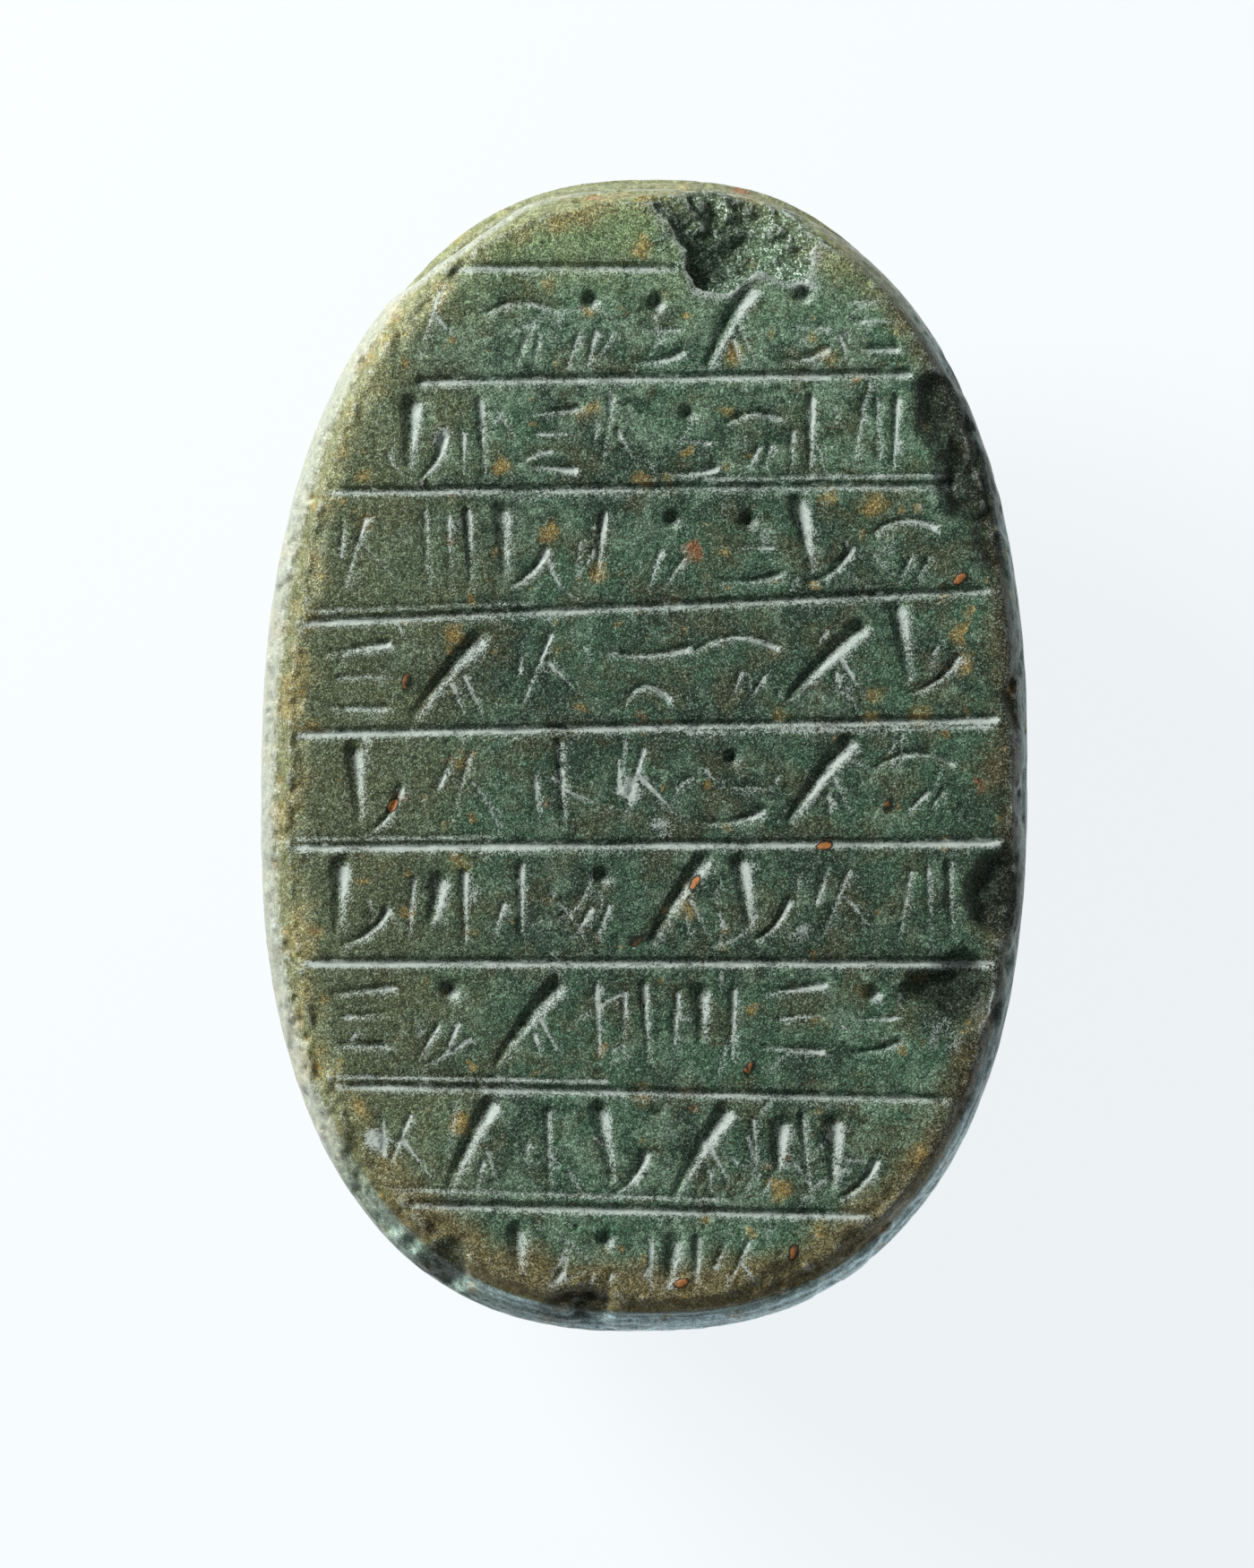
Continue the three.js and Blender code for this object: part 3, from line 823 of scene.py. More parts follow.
class ScarabColourSettings(bpy.types.PropertyGroup):
    """Colours of the stone."""

    deep_green: colour_setting("Deep green", "The darkest cloud in the stone", paint(30, 51, 35))
    mid_green: colour_setting("Mid green", "The usual colour of the stone", paint(51, 79, 58))
    pale_green: colour_setting("Pale green", "Pale clouds in the stone", paint(88, 110, 90))
    umber: colour_setting("Umber", "Brown clouds in the stone", paint(62, 63, 39))
    grey_green: colour_setting("Grey green", "The duller cloud on the left", paint(80, 86, 58))
    # Painted light: the rim takes this olive only on the side that faces the key lamp.
    olive: colour_setting("Olive", "The rim on the left and at the head", paint(104, 106, 71))
    # Painted shade: the rim takes this brown on the side away from the key lamp.
    brown: colour_setting("Brown", "The rim on the right and at the tail", paint(74, 66, 38))
    moss: colour_setting("Moss", "The yellow green of the head end", paint(98, 114, 72))
    # Painted reflection: a pale bluish sheen of the table's light on the shaded wall and at the tail.
    slate: colour_setting("Slate", "Rubbed ridges along the wall", paint(180, 206, 212))
    ochre: colour_setting("Ochre", "Yellow spots", paint(146, 120, 58))
    rust: colour_setting("Rust", "Orange specks", paint(134, 74, 36))
    # Also painted shade: the dark colour laid in the breaks, as well as the dark edge of the wax crumbs.
    soot: colour_setting("Soot", "Dark dirt in the breaks", paint(26, 34, 22))
    # Crushed stone in the strokes, and also painted highlight on their lit walls, on ridges and on the
    # lips of breaks.
    dust_and_highlight: colour_setting("Powder", "Pale dust in the strokes", paint(172, 184, 178))
    # Painted highlight: the pale edge where the key lamp glances, on the left and at the head.
    chalk: colour_setting("Chalk", "The rubbed edge on the left and at the head", paint(196, 204, 202))
    # Painted glint: the pale colour of the sparkling grains and of the crystals in the breaks.
    sparkle: colour_setting("Sparkle", "Pale grains", paint(166, 182, 168))
    crumb: colour_setting("Crumb", "Brown wax", paint(150, 98, 52))


class ScarabStageSettings(bpy.types.PropertyGroup):
    """The light table, the lamps and the camera."""

    table: colour_setting("Table", "The light table", (0.08, 0.078, 0.076))
    glow: colour_setting("Glow", "Colour of the light from the table", (0.927, 0.971, 1.0))
    table_glow: number_setting("Table glow", "Light from the table", 0.895, min=0)
    key_power: number_setting("Key lamp", "The low lamp on the left", 5.2, min=0, unit="POWER")
    fill_power: number_setting("Fill lamp", "The wide lamp on the right", 0.25, min=0, unit="POWER")
    camera_height: number_setting(
        "Camera height", "From the table to the camera", 0.9, min=0.1, unit="LENGTH"
    )
    view_length: number_setting(
        "View length", "Long side of what the camera sees", 0.081, min=0.01, unit="LENGTH"
    )


class ScarabSettings(bpy.types.PropertyGroup):
    """All settings of the seal."""

    stone: PointerProperty(type=ScarabStoneSettings)
    colours: PointerProperty(type=ScarabColourSettings)
    stage: PointerProperty(type=ScarabStageSettings)


# ---- The stone ----


def leg_rings(side, route):
    """Rings of one leg, from the body to the foot."""
    route = [Vector((side * oval_reach(WAIST, y) + LEAN * y, y, HEIGHT - depth)) for y, depth in route]
    rings = []
    for i in range(LEG_STEPS + 1):
        share = i / LEG_STEPS * (len(route) - 1)
        k = min(int(share), len(route) - 2)
        before = route[max(k - 1, 0)]
        after = route[min(k + 2, len(route) - 1)]
        t = share - k
        start_pull = (route[k + 1] - before) / 2
        end_pull = (after - route[k]) / 2
        middle = (
            route[k] * (2 * t**3 - 3 * t**2 + 1)
            + start_pull * (t**3 - 2 * t**2 + t)
            + route[k + 1] * (3 * t**2 - 2 * t**3)
            + end_pull * (t**3 - t**2)
        )
        along = (
            route[k] * (6 * t**2 - 6 * t)
            + start_pull * (3 * t**2 - 4 * t + 1)
            + route[k + 1] * (6 * t - 6 * t**2)
            + end_pull * (3 * t**2 - 2 * t)
        ).normalized()
        outward = Vector((along.y, -along.x, 0)).normalized()
        if outward.x * side < 0:
            outward.negate()
        across = along.cross(outward).normalized()
        girth = 1 - 0.35 * i / LEG_STEPS
        ring = []
        for j in range(LEG_SIDES):
            angle = PI2 * j / LEG_SIDES
            flat = signed_power(np.cos(angle), 0.7) * LEG_WIDTH / 2 * girth
            proud = signed_power(np.sin(angle), 0.7) * LEG_RISE * girth
            ring.append(middle + across * float(flat) + outward * float(proud))
        rings.append(ring)
    return rings


def chip_cutter(index):
    """A ball broken into a rough, faceted lump."""
    chip = CHIPS[index]
    start_clean()
    bpy.ops.mesh.primitive_ico_sphere_add(subdivisions=5, radius=1)
    cutter = bpy.context.object
    cutter.name = f"chip_cutter_{index}"
    directions = vertex_places(cutter)
    directions /= np.linalg.norm(directions, axis=1)[:, None]
    move_vertices(cutter, directions * chip_radius(index, directions)[:, None])
    cutter.scale = chip.size
    cutter.rotation_euler.z = math.radians(chip.turn)
    cutter.location = chip.at
    bpy.ops.object.transform_apply(location=True, rotation=True, scale=True)
    return cutter


def wear_depth(places):
    """How far the worn surface lies under the fresh one, in millimetres."""
    plan = places[:, :2]
    depth = HEIGHT - places[:, 2]
    inset = rim_distance(plan)
    band = (1 - smooth(inset, 0.15, 1.1)) * (1 - smooth(depth, 1.2, 3.0))
    left = smooth(-places[:, 0], 6, 17)
    tail = smooth(-places[:, 1], 16, 27)
    bites = noise_where(band, places, 2.4, 11, 3) + 0.42 * left + 0.2 * tail
    bites = smooth(bites, 0.1, 0.7) * (0.32 + 0.16 * noise_where(band, places, 1.2, 19, 2))
    crumble = np.clip(noise_where(band, places, 0.55, 23, 2), 0, 1)
    broad = np.clip(lump_noise(places, 9.0, 3, 2) + 0.3, 0, 1.3)
    fine = lump_noise(places, 0.8, 37, 3) + 0.8
    pits = np.clip(lump_noise(places, 0.7, 51, 2) - 0.7, 0, 0.5)
    return band * (bites + (0.08 + 0.1 * left) * crumble) + 0.1 * broad + 0.022 * fine + 0.28 * pits


def wall_streaks(places):
    """Fine ridges that run along the wall, where it was rubbed down."""
    inset = rim_distance(places[:, :2])
    depth = HEIGHT - places[:, 2]
    on_wall = (1 - smooth(inset, -0.5, 0.1)) * (1 - smooth(depth, RIM_DEPTH, RIM_DEPTH + 1))
    along = np.column_stack((places[:, :2] / 7.0, (depth - inset) / STREAK_PITCH))
    return on_wall * noise_where(on_wall, along, 1.0, 131, 2)


def lip_bruise_and_highlight(places):
    """1 on the face along the lower edge of the fresh breaks, where it is bruised and faces the key lamp
    as a painted highlight, and less above.
    """
    lip = np.zeros(len(places))
    for index in FRESH:
        chip = CHIPS[index]
        out = places[:, :2] - np.array(chip.at[:2])
        near = np.nonzero(np.hypot(*out.T) < 1.6 * max(chip.size))[0]
        amount = 1 - smooth(chip_measure(index, places[near]), 0.1, LIP_WIDTH)
        amount *= np.where(out[near, 0] > out[near, 1], 1.0, 0.6)
        lip[near] = np.maximum(lip[near], amount * (HEIGHT - places[near, 2] < 0.5))
    return lip


def broken_amount(places, softness):
    """1 on the fresh breaks, fading over a softness."""
    broken = np.zeros(len(places))
    for index in FRESH:
        near = near_chip(places, CHIPS[index], 1.5 * max(CHIPS[index].size) + softness)
        amount = 1 - smooth(np.abs(chip_measure(index, places[near])), 0.2 * softness, softness)
        amount *= HEIGHT - places[near, 2] > 0.12
        broken[near] = np.maximum(broken[near], amount)
    return broken


def break_shade_amount(plan):
    """How much painted shade darkens the breaks, from 0 to 1."""
    dirt = np.zeros(len(plan))
    for chip in CHIPS:
        level = np.column_stack((plan, np.full(len(plan), chip.at[2])))
        away = np.linalg.norm(chip_share(chip, level), axis=1)
        dirt = np.maximum(dirt, chip.dirt * (1 - smooth(away, 0.6, 1.4)))
    return dirt


class SCARAB_OT_stone(bpy.types.Operator):
    """Makes the blank of the stone, with its legs and its broken edges"""

    bl_idname = "scarab.stone"
    bl_label = "Stone"

    def execute(self, context):
        settings = context.scene.scarab.stone
        stone = lofted("carved_stone", form_rings())
        for cutter in [chip_cutter(index) for index in FRESH]:
            apply_modifier(stone, "BOOLEAN", object=cutter, operation="DIFFERENCE", solver="EXACT")
            bpy.data.objects.remove(cutter)
        legs = [lofted("leg", leg_rings(side, route)) for route in LEGS for side in (-1, 1)]
        start_clean()
        for piece in (*legs, stone):
            piece.select_set(True)
        context.view_layer.objects.active = stone
        bpy.ops.object.join()
        apply_modifier(stone, "REMESH", mode="VOXEL", voxel_size=settings.grain)
        broken = broken_amount(vertex_places(stone), CHIP_SOFTNESS)
        soft = weigh(stone, "soft", broken)
        apply_modifier(stone, "SMOOTH", factor=0.6, iterations=SOFTENING, vertex_group=soft)
        return {"FINISHED"}


class SCARAB_OT_carving(bpy.types.Operator):
    """Cuts the lines, strokes and wear into the blank, and brings it to metres"""

    bl_idname = "scarab.carving"
    bl_label = "Carving"

    def execute(self, context):
        settings = context.scene.scarab.stone
        stone = bpy.data.objects["carved_stone"]
        strokes = all_strokes()
        places = vertex_places(stone)
        broken = broken_amount(places, CHIP_REACH)
        hollow = worn_hollow(places)
        rough = np.clip(broken + 0.6 * smooth(hollow, 0.2, 0.8), 0, 1)
        shards = 1 - 2 * np.abs(noise_where(rough, places, 1.5, 71, 4))
        shrink = wear_depth(places) * settings.wear * (1 - 0.8 * broken)
        shrink += rough * 0.26 * (shards + 0.3)
        shrink += STREAK_RISE * wall_streaks(places)
        shrink += back_line_depth(places)
        moved = places - self.ways_in(stone, places) * shrink[:, None]
        moved[:, 2] -= hollow * settings.wear

        on_face = HEIGHT - places[:, 2] < 0.9
        jitter = np.column_stack([lump_noise(places[on_face], 0.6, seed, 2) for seed in (81, 91)])
        plan = places[on_face, :2] + 0.045 * jitter
        cut = cut_depth(plan, strokes) * settings.cut_strength * smooth(rim_distance(plan), 0.0, 1.5)
        cut *= 1 + 0.22 * lump_noise(places[on_face], 1.3, 101, 2)
        moved[on_face, 2] -= cut * (1 - 0.7 * rough[on_face])
        moved[on_face, 2] += CRUMB_RISE * crumb_rise(plan)
        moved[:, 2] = np.clip(moved[:, 2], 0, HEIGHT)
        move_vertices(stone, moved)

        self.thin_out(stone, settings.most_triangles)
        self.write_attributes(stone, strokes)
        start_clean()
        stone.select_set(True)
        context.view_layer.objects.active = stone
        stone.scale = (MM, MM, MM)
        bpy.ops.object.transform_apply(location=False, rotation=False, scale=True)
        bpy.ops.object.shade_smooth()
        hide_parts("scarab")
        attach(stone, "root")
        return {"FINISHED"}

    @staticmethod
    def ways_in(stone, places):
        """The directions the wear follows. They turn upright near the face, so nothing overhangs."""
        normals = eased_normals(stone, EASING)
        normals[:, 2] += 1 - smooth(HEIGHT - places[:, 2], 2, 5)
        return normals / np.linalg.norm(normals, axis=1)[:, None]

    @staticmethod
    def thin_out(stone, most_triangles):
        """Fewer triangles, and most of all on the plain sides and the back."""
        stone.data.calc_loop_triangles()
        ratio = most_triangles / len(stone.data.loop_triangles)
        if ratio < 1:
            depth = HEIGHT - vertex_places(stone)[:, 2]
            plain = weigh(stone, "plain", np.where(depth > PLAIN_DEPTH, 1.0, 0.5))
            apply_modifier(
                stone,
                "DECIMATE",
                ratio=ratio,
                use_collapse_triangulate=True,
                vertex_group=plain,
                vertex_group_factor=PLAIN_BACK,
            )
        stone.vertex_groups.clear()

    def write_attributes(self, stone, strokes):
        """What the finish reads: where the stone is cut, broken, worn or hollow, and where shade and
        highlights are painted.
        """
        places = vertex_places(stone)
        plan = places[:, :2]
        depth = HEIGHT - places[:, 2]
        inset = rim_distance(plan)
        broken = broken_amount(places, CHIP_REACH)
        excess, _ = chord_excess(plan)
        cut, crumbs, dust_and_highlight = np.zeros((3, len(places)))
        on_face = depth < 1.6
        cut[on_face] = cut_depth(plan[on_face], strokes)
        crumbs[on_face] = crumb_rise(plan[on_face])
        dust_and_highlight[on_face] = dust_and_highlight_amount(plan[on_face], strokes) * smooth(inset[on_face], -0.3, 0.8)
        # Pale bruised stone on the lips of the fresh breaks, with painted highlight on the lower lips
        # that face the key lamp.
        bruise_and_highlight = 0.5 + 0.4 * lump_noise(places[on_face], 0.8, 161, 3)
        dust_and_highlight[on_face] = np.maximum(dust_and_highlight[on_face], bruise_and_highlight * lip_bruise_and_highlight(places[on_face]))
        marks = {
            "cut": np.clip(cut / 0.3, 0, 1),
            "crumb": crumbs,
            "dust_and_highlight": dust_and_highlight * (1 - 0.6 * broken),
            "broken": broken,
            "dirt": break_shade_amount(plan) * (1 - smooth(depth, 2.5, 4.5)),
            "inset": np.clip(inset, -3, 3),
            "depth": depth,
            "ledge": smooth(excess, 0.15, 0.4),
            "crest_highlight": 1 - smooth(np.abs(excess + 0.1), 0.1, 0.35),
            "hollow": self.hollowness(stone, places),
        }
        for name in ATTRIBUTES:
            layer = stone.data.attributes.new(name, "FLOAT", "POINT")
            layer.data.foreach_set("value", np.ascontiguousarray(marks[name], dtype=np.float32))

    @staticmethod
    def hollowness(stone, places):
        """Positive in hollows and negative on ridges, smoothed over the neighbours."""
        a, b = edge_ends(stone)
        normals = vertex_normals(stone)
        span = places[b] - places[a]
        length = np.linalg.norm(span, axis=1) + 1e-9
        size = len(places)
        rise_a = np.einsum("ij,ij->i", span, normals[a]) / length
        rise_b = -np.einsum("ij,ij->i", span, normals[b]) / length
        count = np.bincount(a, minlength=size) + np.bincount(b, minlength=size)
        value = (np.bincount(a, rise_a, size) + np.bincount(b, rise_b, size)) / np.maximum(count, 1)
        for _ in range(2):
            value = 0.5 * value + 0.5 * neighbour_mean((a, b), value)
        return value * 3


# ---- The finish ----


class Value:
    """One output of a node, so that sums of outputs are written the usual way."""

    def __init__(self, bench, socket):
        self.bench = bench
        self.socket = socket

    def __add__(self, other):
        return self.bench.math("ADD", self, other)

    def __sub__(self, other):
        return self.bench.math("SUBTRACT", self, other)

    def __rsub__(self, other):
        return self.bench.math("SUBTRACT", other, self)

    def __mul__(self, other):
        return self.bench.math("MULTIPLY", self, other)

    def __abs__(self):
        return self.bench.math("ABSOLUTE", self, 0.0)

    __radd__ = __add__
    __rmul__ = __mul__

    def rise(self, start, end):
        """0 at start, 1 at end and smooth between."""
        inputs = {"Value": self, "From Min": start, "From Max": end}
        return self.bench.node("ShaderNodeMapRange", "Result", inputs, interpolation_type="SMOOTHSTEP")


class Bench:
    """Adds nodes to one material."""

    def __init__(self, name):
        self.material = bpy.data.materials.new(name)
        self.material.use_nodes = True
        self.tree = self.material.node_tree
        self.tree.nodes.clear()

    def node(self, kind, output, inputs=None, **settings):
        """One output of a new node. Its inputs are outputs of other nodes or plain values."""
        made = self.tree.nodes.new(kind)
        for key, value in settings.items():
            setattr(made, key, value)
        for key, value in (inputs or {}).items():
            if isinstance(value, Value):
                self.tree.links.new(value.socket, made.inputs[key])
            else:
                made.inputs[key].default_value = value
        return Value(self, made.outputs[output])

    def parts(self, kind, inputs):
        """All outputs of a new node."""
        first = self.node(kind, 0, inputs)
        return [Value(self, socket) for socket in first.socket.node.outputs]

    def math(self, operation, a, b):
        return self.node("ShaderNodeMath", 0, {0: a, 1: b}, operation=operation)

    def vector(self, operation, *values):
        return self.node("ShaderNodeVectorMath", 0, dict(enumerate(values)), operation=operation)

    def noise(self, place, scale, detail=2.0, roughness=0.5, output="Fac"):
        inputs = {"Vector": place, "Scale": scale, "Detail": detail, "Roughness": roughness}
        return self.node("ShaderNodeTexNoise", output, inputs)

    def cells(self, place, scale):
        """How far each place is from the middle of its cell, and three random shares of the cell."""
        distance, colour, *_ = self.parts("ShaderNodeTexVoronoi", {"Vector": place, "Scale": scale})
        return distance, *self.parts("ShaderNodeSeparateColor", {"Color": colour})

    def contrast(self, body, pattern, strength):
        """Darker where a pattern is under a half and paler where it is over."""
        return self.scaled(body, self.math("POWER", math.e, (pattern - 0.5) * strength))

    def mixed(self, share, under, over):
        """Over laid on under, by a share from 0 to 1."""
        inputs = {0: share, 6: under, 7: over}
        return self.node("ShaderNodeMix", 2, inputs, data_type="RGBA", clamp_factor=True)

    def scaled(self, colour, factor):
        return self.node("ShaderNodeVectorMath", 0, {0: colour, "Scale": factor}, operation="SCALE")

    def surface(self, inputs):
        """Ends the material in one coat with these inputs."""
        coat = self.node("ShaderNodeBsdfPrincipled", "BSDF", inputs)
        end = self.tree.nodes.new("ShaderNodeOutputMaterial")
        self.tree.links.new(coat.socket, end.inputs["Surface"])
        return self.material


class StoneBench(Bench):
    """The finish of the stone. Each coat takes the colour so far and gives it back changed."""

    def __init__(self, colours):
        super().__init__("mottled_green_stone")
        self.tone = {}
        for name in type(colours).__annotations__:
            self.tone[name] = self.node("ShaderNodeRGB", 0)
            self.tone[name].socket.default_value = (*getattr(colours, name), 1)
        raw = self.node("ShaderNodeTexCoord", "Object")
        self.place = self.vector("MULTIPLY", raw, (1 / MM,) * 3)
        centred = self.vector("SUBTRACT", self.noise(self.place, 0.9, 3.0, 0.5, "Color"), (0.5,) * 3)
        self.bent = self.vector("MULTIPLY_ADD", centred, (1.3,) * 3, self.place)
        self.x, self.y, _ = self.parts("ShaderNodeSeparateXYZ", {"Vector": self.place})
        self.mark = {
            name: self.node("ShaderNodeAttribute", "Fac", attribute_name=name) for name in ATTRIBUTES
        }
        self.cell, red, _, self.spark = self.cells(self.place, GRAINS)
        self.fine = 0.42 * red + 0.58 * self.noise(self.place, 9.0, 3.0, 0.75)
        self.coarse = self.noise(self.place, 2.6, 3.0, 0.7)
        self.wander = self.noise(self.place, 0.3, 4.0, 0.6)
        self.patch = self.noise(self.bent, 0.42, 4.0, 0.65).rise(0.47, 0.62)
        self.from_middle = abs(self.y + 2.0).rise(8.0, 26.0)
        self.tailness = self.y.rise(-12.0, -28.0)
        self.lit_side = (self.y - 1.6 * self.x).rise(-6.0, 12.0)
        self.shade_side = 1.0 - self.lit_side
        self.upper = self.mark["depth"].rise(7.5, 4.5)
        self.wall = self.mark["inset"].rise(0.1, -0.5)
        self.streak = self.noise(self.along_wall(), 1.0, 3.0, 0.6)
        _, _, self.shard, _ = self.cells(self.bent, SHARDS)
        # Painted shade in the breaks, its edge broken up by noise.
        self.break_shade_mask = (self.mark["dirt"] + self.noise(self.place, 0.9, 4.0, 0.65)).rise(0.75, 1.25)

    def along_wall(self):
        """Places drawn out along the wall, so that a pattern on them runs round the stone."""
        down = 2.6 * (self.mark["depth"] - self.mark["inset"])
        lift = self.node("ShaderNodeCombineXYZ", 0, {"Z": down})
        return self.vector("ADD", self.vector("MULTIPLY", self.place, (0.08, 0.08, 0.0)), lift)

    def clouds(self):
        """Clouds of green, duller on the left and yellower at the head."""
        tone = self.tone
        cloud = self.noise(self.bent, 0.17, 5.0, 0.65).rise(0.4, 0.6)
        body = self.mixed(cloud, tone["deep_green"], tone["mid_green"])
        body = self.mixed(0.6 * self.patch, body, tone["umber"])
        pale = self.noise(self.bent, 0.7, 3.0, 0.6) + 0.12 * self.from_middle
        body = self.mixed(0.65 * pale.rise(0.53, 0.68), body, tone["pale_green"])
        dull = (self.x.rise(0.0, -18.0) + 0.9 * self.wander).rise(0.7, 1.4)
        body = self.mixed(0.65 * dull, body, tone["grey_green"])
        moss = (self.y.rise(18.0, 29.0) + 0.8 * self.wander).rise(0.7, 1.5)
        return self.mixed(0.7 * moss, body, tone["moss"])

    def rim(self, body):
        """Olive and ochre as painted light on the lit side; brown as painted shade on the other, paler
        towards the tail, darker at the edge, with a bluish painted reflection on the wall.
        """
        tone = self.tone
        inset = self.mark["inset"]
        rim = (inset + 4.0 * self.wander + 1.2 * self.coarse - self.tailness).rise(4.2, 2.5)
        on_face = (inset + 0.5 * self.tailness).rise(-0.45, -0.1)
        # Painted shade: brown on the rim's shaded side, made paler towards the tail where the key lamp
        # hardly reaches.
        brown = self.scaled(tone["brown"], 0.9 + 0.5 * self.tailness)
        body = self.mixed(0.9 * rim * self.shade_side * on_face, body, brown)
        # Painted light: olive, and ochre in patches, on the rim where it faces the key lamp.
        body = self.mixed(0.85 * rim * self.lit_side, body, tone["olive"])
        body = self.mixed(0.3 * rim * self.lit_side * self.patch * self.upper, body, tone["ochre"])
        # Painted reflection: the table's bluish sheen on the outer wall of the shaded side and the tail,
        # streaked along the wall.
        rubbed = self.streak.rise(0.35, 0.65)
        tail_sheen = self.tailness * self.x.rise(-11.0, -4.0)
        sheen = 0.08 + 0.2 * rubbed + 0.6 * tail_sheen * (0.4 + rubbed)
        outer = (inset + 0.3 * self.coarse + 0.55 * self.tailness).rise(0.05, -0.3)
        body = self.mixed(outer * self.shade_side * sheen, body, tone["slate"])
        # Painted shade: the band at the edge on the shaded side is made darker.
        shaded = abs(inset - 0.1).rise(0.7, 0.3) * self.shade_side * (1.0 - self.tailness)
        return self.scaled(body, 1.0 - 0.4 * shaded)

    def spots(self, body):
        """Soft-edged spots in a share of the cells, each of its own size."""
        for colour, scale, share, radius, softness, strength in SPOTS:
            distance, draw, *_ = self.cells(self.bent, scale)
            size = self.node(
                "ShaderNodeMapRange",
                "Result",
                {"Value": draw, "From Min": 1 - share, "From Max": 1.0, "To Min": 0.0, "To Max": radius},
            )
            spot = (size - distance - 0.22 * self.coarse).rise(-SPOT_BLUR, softness - SPOT_BLUR)
            body = self.mixed(strength * spot, body, self.tone[colour])
        return body

    def breaks(self, body):
        """Shards of green in the fresh break, and dark painted shade in the breaks, most in the worn
        ones on the shaded side.
        """
        shards = self.scaled(self.tone["mid_green"], 0.25 + 1.1 * self.shard)
        body = self.mixed(0.75 * self.mark["broken"], body, shards)
        # Painted shade: the breaks are darkened with the soot colour.
        return self.mixed(0.8 * self.break_shade_mask, body, self.tone["soot"])

    def grain(self, body):
        """Sandy grain: every colour breaks into darker and paler grains, with painted glints on a few
        grains and on the pale crystals of the fresh breaks.
        """
        body = self.contrast(body, self.fine, 4.2 - 2.2 * self.wall)
        body = self.contrast(body, self.coarse, 2.6)
        body = self.scaled(body, 1.03 + 0.3 * self.from_middle + 0.14 * self.x.rise(3.0, 14.0))
        # Painted glints: pale grains, and a few bright ones, stand in for light glinting off the grain.
        faint_glints = 0.11 * self.fine.rise(0.5, 0.72) * (1.0 - self.wall)
        glints = self.math("MAXIMUM", 0.6 * self.spark.rise(0.93, 0.995), faint_glints)
        body = self.mixed(glints * (1.0 - 0.2 * self.break_shade_mask), body, self.tone["sparkle"])
        # Pale crystals in the fresh breaks, painted brighter as glints.
        crystal_glints = 0.95 * self.mark["broken"] * (self.shard + 0.9 * self.fine).rise(1.25, 1.4)
        return self.mixed(crystal_glints, body, self.scaled(self.tone["sparkle"], 1.6))

    def dust(self, body):
        """Crushed stone in the strokes, shifted as painted highlight onto their lit walls, and painted
        highlight on the lit edges, the crest of the rubbed-off corner and the ridges.
        """
        tone = self.tone
        dust = (self.mark["dust_and_highlight"] + 1.1 * self.fine + 0.6 * self.coarse).rise(0.98, 1.48)
        body = self.mixed(0.85 * dust, body, tone["dust_and_highlight"])
        # Painted highlight: a pale band on the rim's lit side and along the crest of the rubbed-off
        # corner.
        chalky = (0.4 * self.fine + 1.2 * self.coarse - self.mark["inset"]).rise(1.25, 1.9)
        chalky = 0.36 * chalky * self.lit_side.rise(0.3, 0.9) * (1.0 - 0.9 * self.mark["ledge"])
        chalky = self.math("MAXIMUM", chalky, 0.8 * self.mark["crest_highlight"] * self.fine)
        body = self.mixed(chalky * self.upper, body, tone["chalk"])
        # Painted highlight: the pale colour on ridges, where the light catches them.
        ridge_highlight = (self.mark["hollow"] - 0.6 * self.fine).rise(-0.5, -0.9)
        return self.mixed(0.5 * ridge_highlight, body, tone["dust_and_highlight"])

    def wax(self, body):
        """Crumbs of wax, each with a dark edge."""
        crumb = self.mark["crumb"]
        body = self.mixed(crumb.rise(0.05, 0.3), body, self.tone["soot"])
        wax = self.scaled(self.tone["crumb"], 0.4 + 1.2 * self.fine)
        return self.mixed(crumb.rise(0.35, 0.6), body, wax)

    def grit(self):
        """The fine roughness that the light picks out."""
        rough = 1.0 - 0.75 * self.wall
        grit = rough * (0.6 * self.fine - 0.15 * self.cell) + 0.8 * self.streak * self.wall
        grit += 0.9 * self.noise(self.place, 2.0, 3.0, 0.6)
        grit += 2.5 * self.mark["broken"] * self.noise(self.place, 3.0, 5.0, 0.75)
        inputs = {"Height": grit, "Strength": 0.9, "Distance": 0.1 * MM}
        return self.node("ShaderNodeBump", "Normal", inputs)


def stone_finish(colours):
    bench = StoneBench(colours)
    body = bench.clouds()
    for coat in (bench.rim, bench.spots, bench.breaks, bench.grain, bench.dust, bench.wax):
        body = coat(body)
    dull = 0.16 * bench.coarse + 0.3 * bench.mark["cut"] - 0.1 * bench.wall
    return bench.surface(
        {
            "Base Color": body,
            "Roughness": 0.32 + dull,
            "Normal": bench.grit(),
            "IOR": 1.5,
            "Specular IOR Level": 0.25,
        }
    )


class SCARAB_OT_finish(bpy.types.Operator):
    """Gives the carved stone its mottled green finish"""

    bl_idname = "scarab.finish"
    bl_label = "Finish"

    def execute(self, context):
        stone = bpy.data.objects["carved_stone"]
        stone.data.materials.clear()
        stone.data.materials.append(stone_finish(context.scene.scarab.colours))
        return {"FINISHED"}


# ---- The stage ----


def table_finish(settings):
    return Bench("light_table").surface(
        {
            "Base Color": (*settings.table, 1),
            "Roughness": 0.8,
            "Emission Color": (*settings.glow, 1),
            "Emission Strength": settings.table_glow,
        }
    )


def add_lamp(name, lamp, power, aim):
    start_clean()
    bpy.ops.object.light_add(type="AREA", location=lamp.at)
    piece = bpy.context.object
    piece.name = piece.data.name = name
    piece.data.size = lamp.size
    piece.data.color = lamp.colour
    piece.data.energy = power
    piece.rotation_euler = (Vector(aim) - Vector(lamp.at)).to_track_quat("-Z", "Y").to_euler()


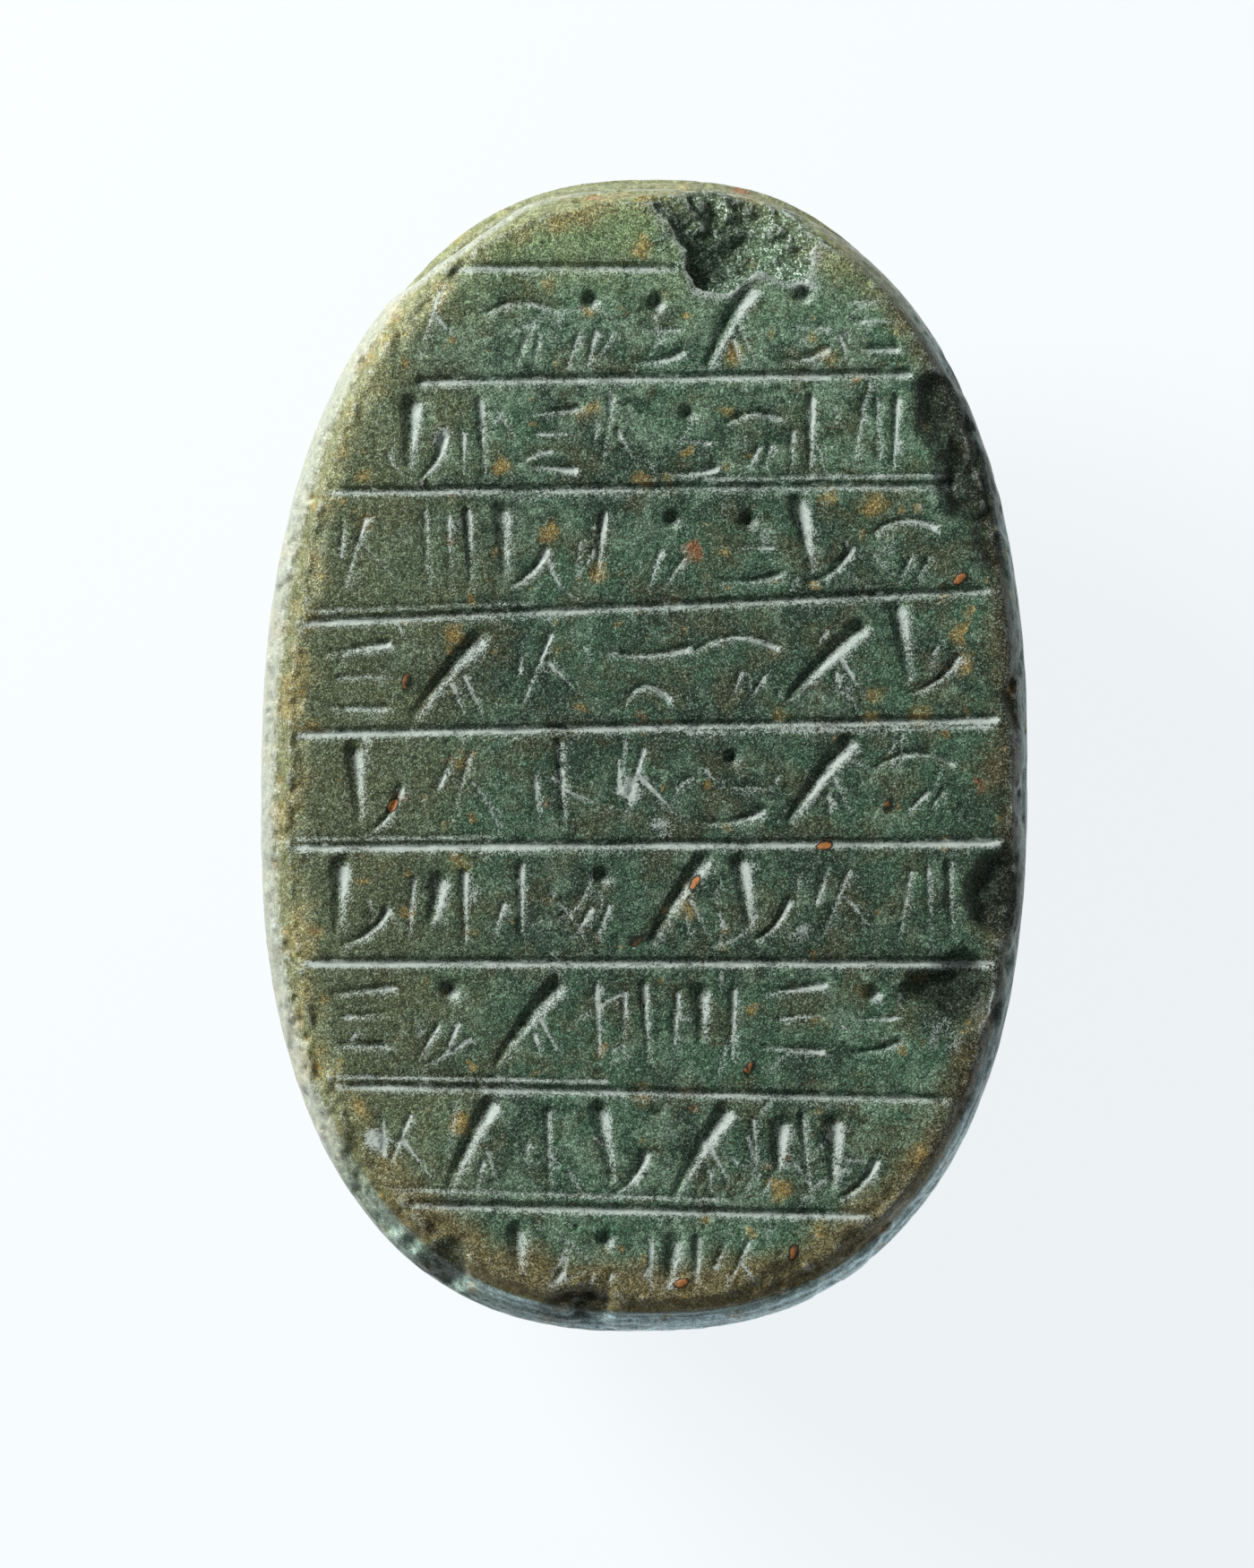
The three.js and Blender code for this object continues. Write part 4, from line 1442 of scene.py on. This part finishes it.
class SCARAB_OT_stage(bpy.types.Operator):
    """Makes the light table, the lamps and the camera above the seal"""

    bl_idname = "scarab.stage"
    bl_label = "Stage"

    def execute(self, context):
        settings = context.scene.scarab.stage
        start_clean()
        bpy.ops.mesh.primitive_plane_add(size=1.6, location=(0, 0, 0))
        table = context.object
        table.name = table.data.name = "light_table"
        table.data.materials.append(table_finish(settings))
        table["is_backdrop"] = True
        aim = (0, 0, HIGH.z * 0.8)
        add_lamp("key_lamp", KEY_LAMP, settings.key_power, aim)
        add_lamp("fill_lamp", FILL_LAMP, settings.fill_power, aim)
        self.add_camera(context, settings)
        world = bpy.data.worlds.new("soft_room")
        context.scene.world = world
        world.use_nodes = True
        room = world.node_tree.nodes["Background"].inputs
        room["Color"].default_value = ROOM_COLOUR
        room["Strength"].default_value = ROOM_LIGHT
        context.scene.view_settings.view_transform = "Standard"
        return {"FINISHED"}

    @staticmethod
    def add_camera(context, settings):
        start_clean()
        bpy.ops.object.camera_add(location=(*CAMERA_OVER, settings.camera_height), rotation=(0, 0, 0))
        camera = context.object
        camera.name = camera.data.name = "camera"
        camera.data.sensor_fit = "AUTO"
        camera.data.sensor_width = SENSOR_WIDTH
        to_face = settings.camera_height - HIGH.z
        camera.data.lens = camera.data.sensor_width * to_face / settings.view_length
        camera.data.clip_start = 0.01
        camera.data.clip_end = 10
        context.scene.camera = camera


# ---- The add-on ----


class SCARAB_PT_panel(bpy.types.Panel):
    """Lists the settings and the steps of the seal"""

    bl_idname = "SCARAB_PT_panel"
    bl_label = "Scarab Seal"
    bl_space_type = "VIEW_3D"
    bl_region_type = "UI"
    bl_category = "Scarab"

    def draw(self, context):
        settings = context.scene.scarab
        for group in (settings.stone, settings.colours, settings.stage):
            box = self.layout.box()
            for name in type(group).__annotations__:
                box.prop(group, name)
        for step in STEPS:
            self.layout.operator(step.bl_idname)


STEPS = (SCARAB_OT_stone, SCARAB_OT_carving, SCARAB_OT_finish, SCARAB_OT_stage)
CLASSES = (
    ScarabStoneSettings,
    ScarabColourSettings,
    ScarabStageSettings,
    ScarabSettings,
    *STEPS,
    SCARAB_PT_panel,
)


def register():
    for cls in CLASSES:
        bpy.utils.register_class(cls)
    bpy.types.Scene.scarab = PointerProperty(type=ScarabSettings)


def unregister():
    del bpy.types.Scene.scarab
    for cls in reversed(CLASSES):
        bpy.utils.unregister_class(cls)


def main():
    register()
    bpy.ops.scarab.stone()
    bpy.ops.scarab.carving()
    bpy.ops.scarab.finish()
    bpy.ops.scarab.stage()
    dressed_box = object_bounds()
    boxes = {"solid": SOLID_BOX, "dressed": dressed_box}
    boxes = {name: [list(corner) for corner in box] for name, box in boxes.items()}


if __name__ == "__main__":
    main()
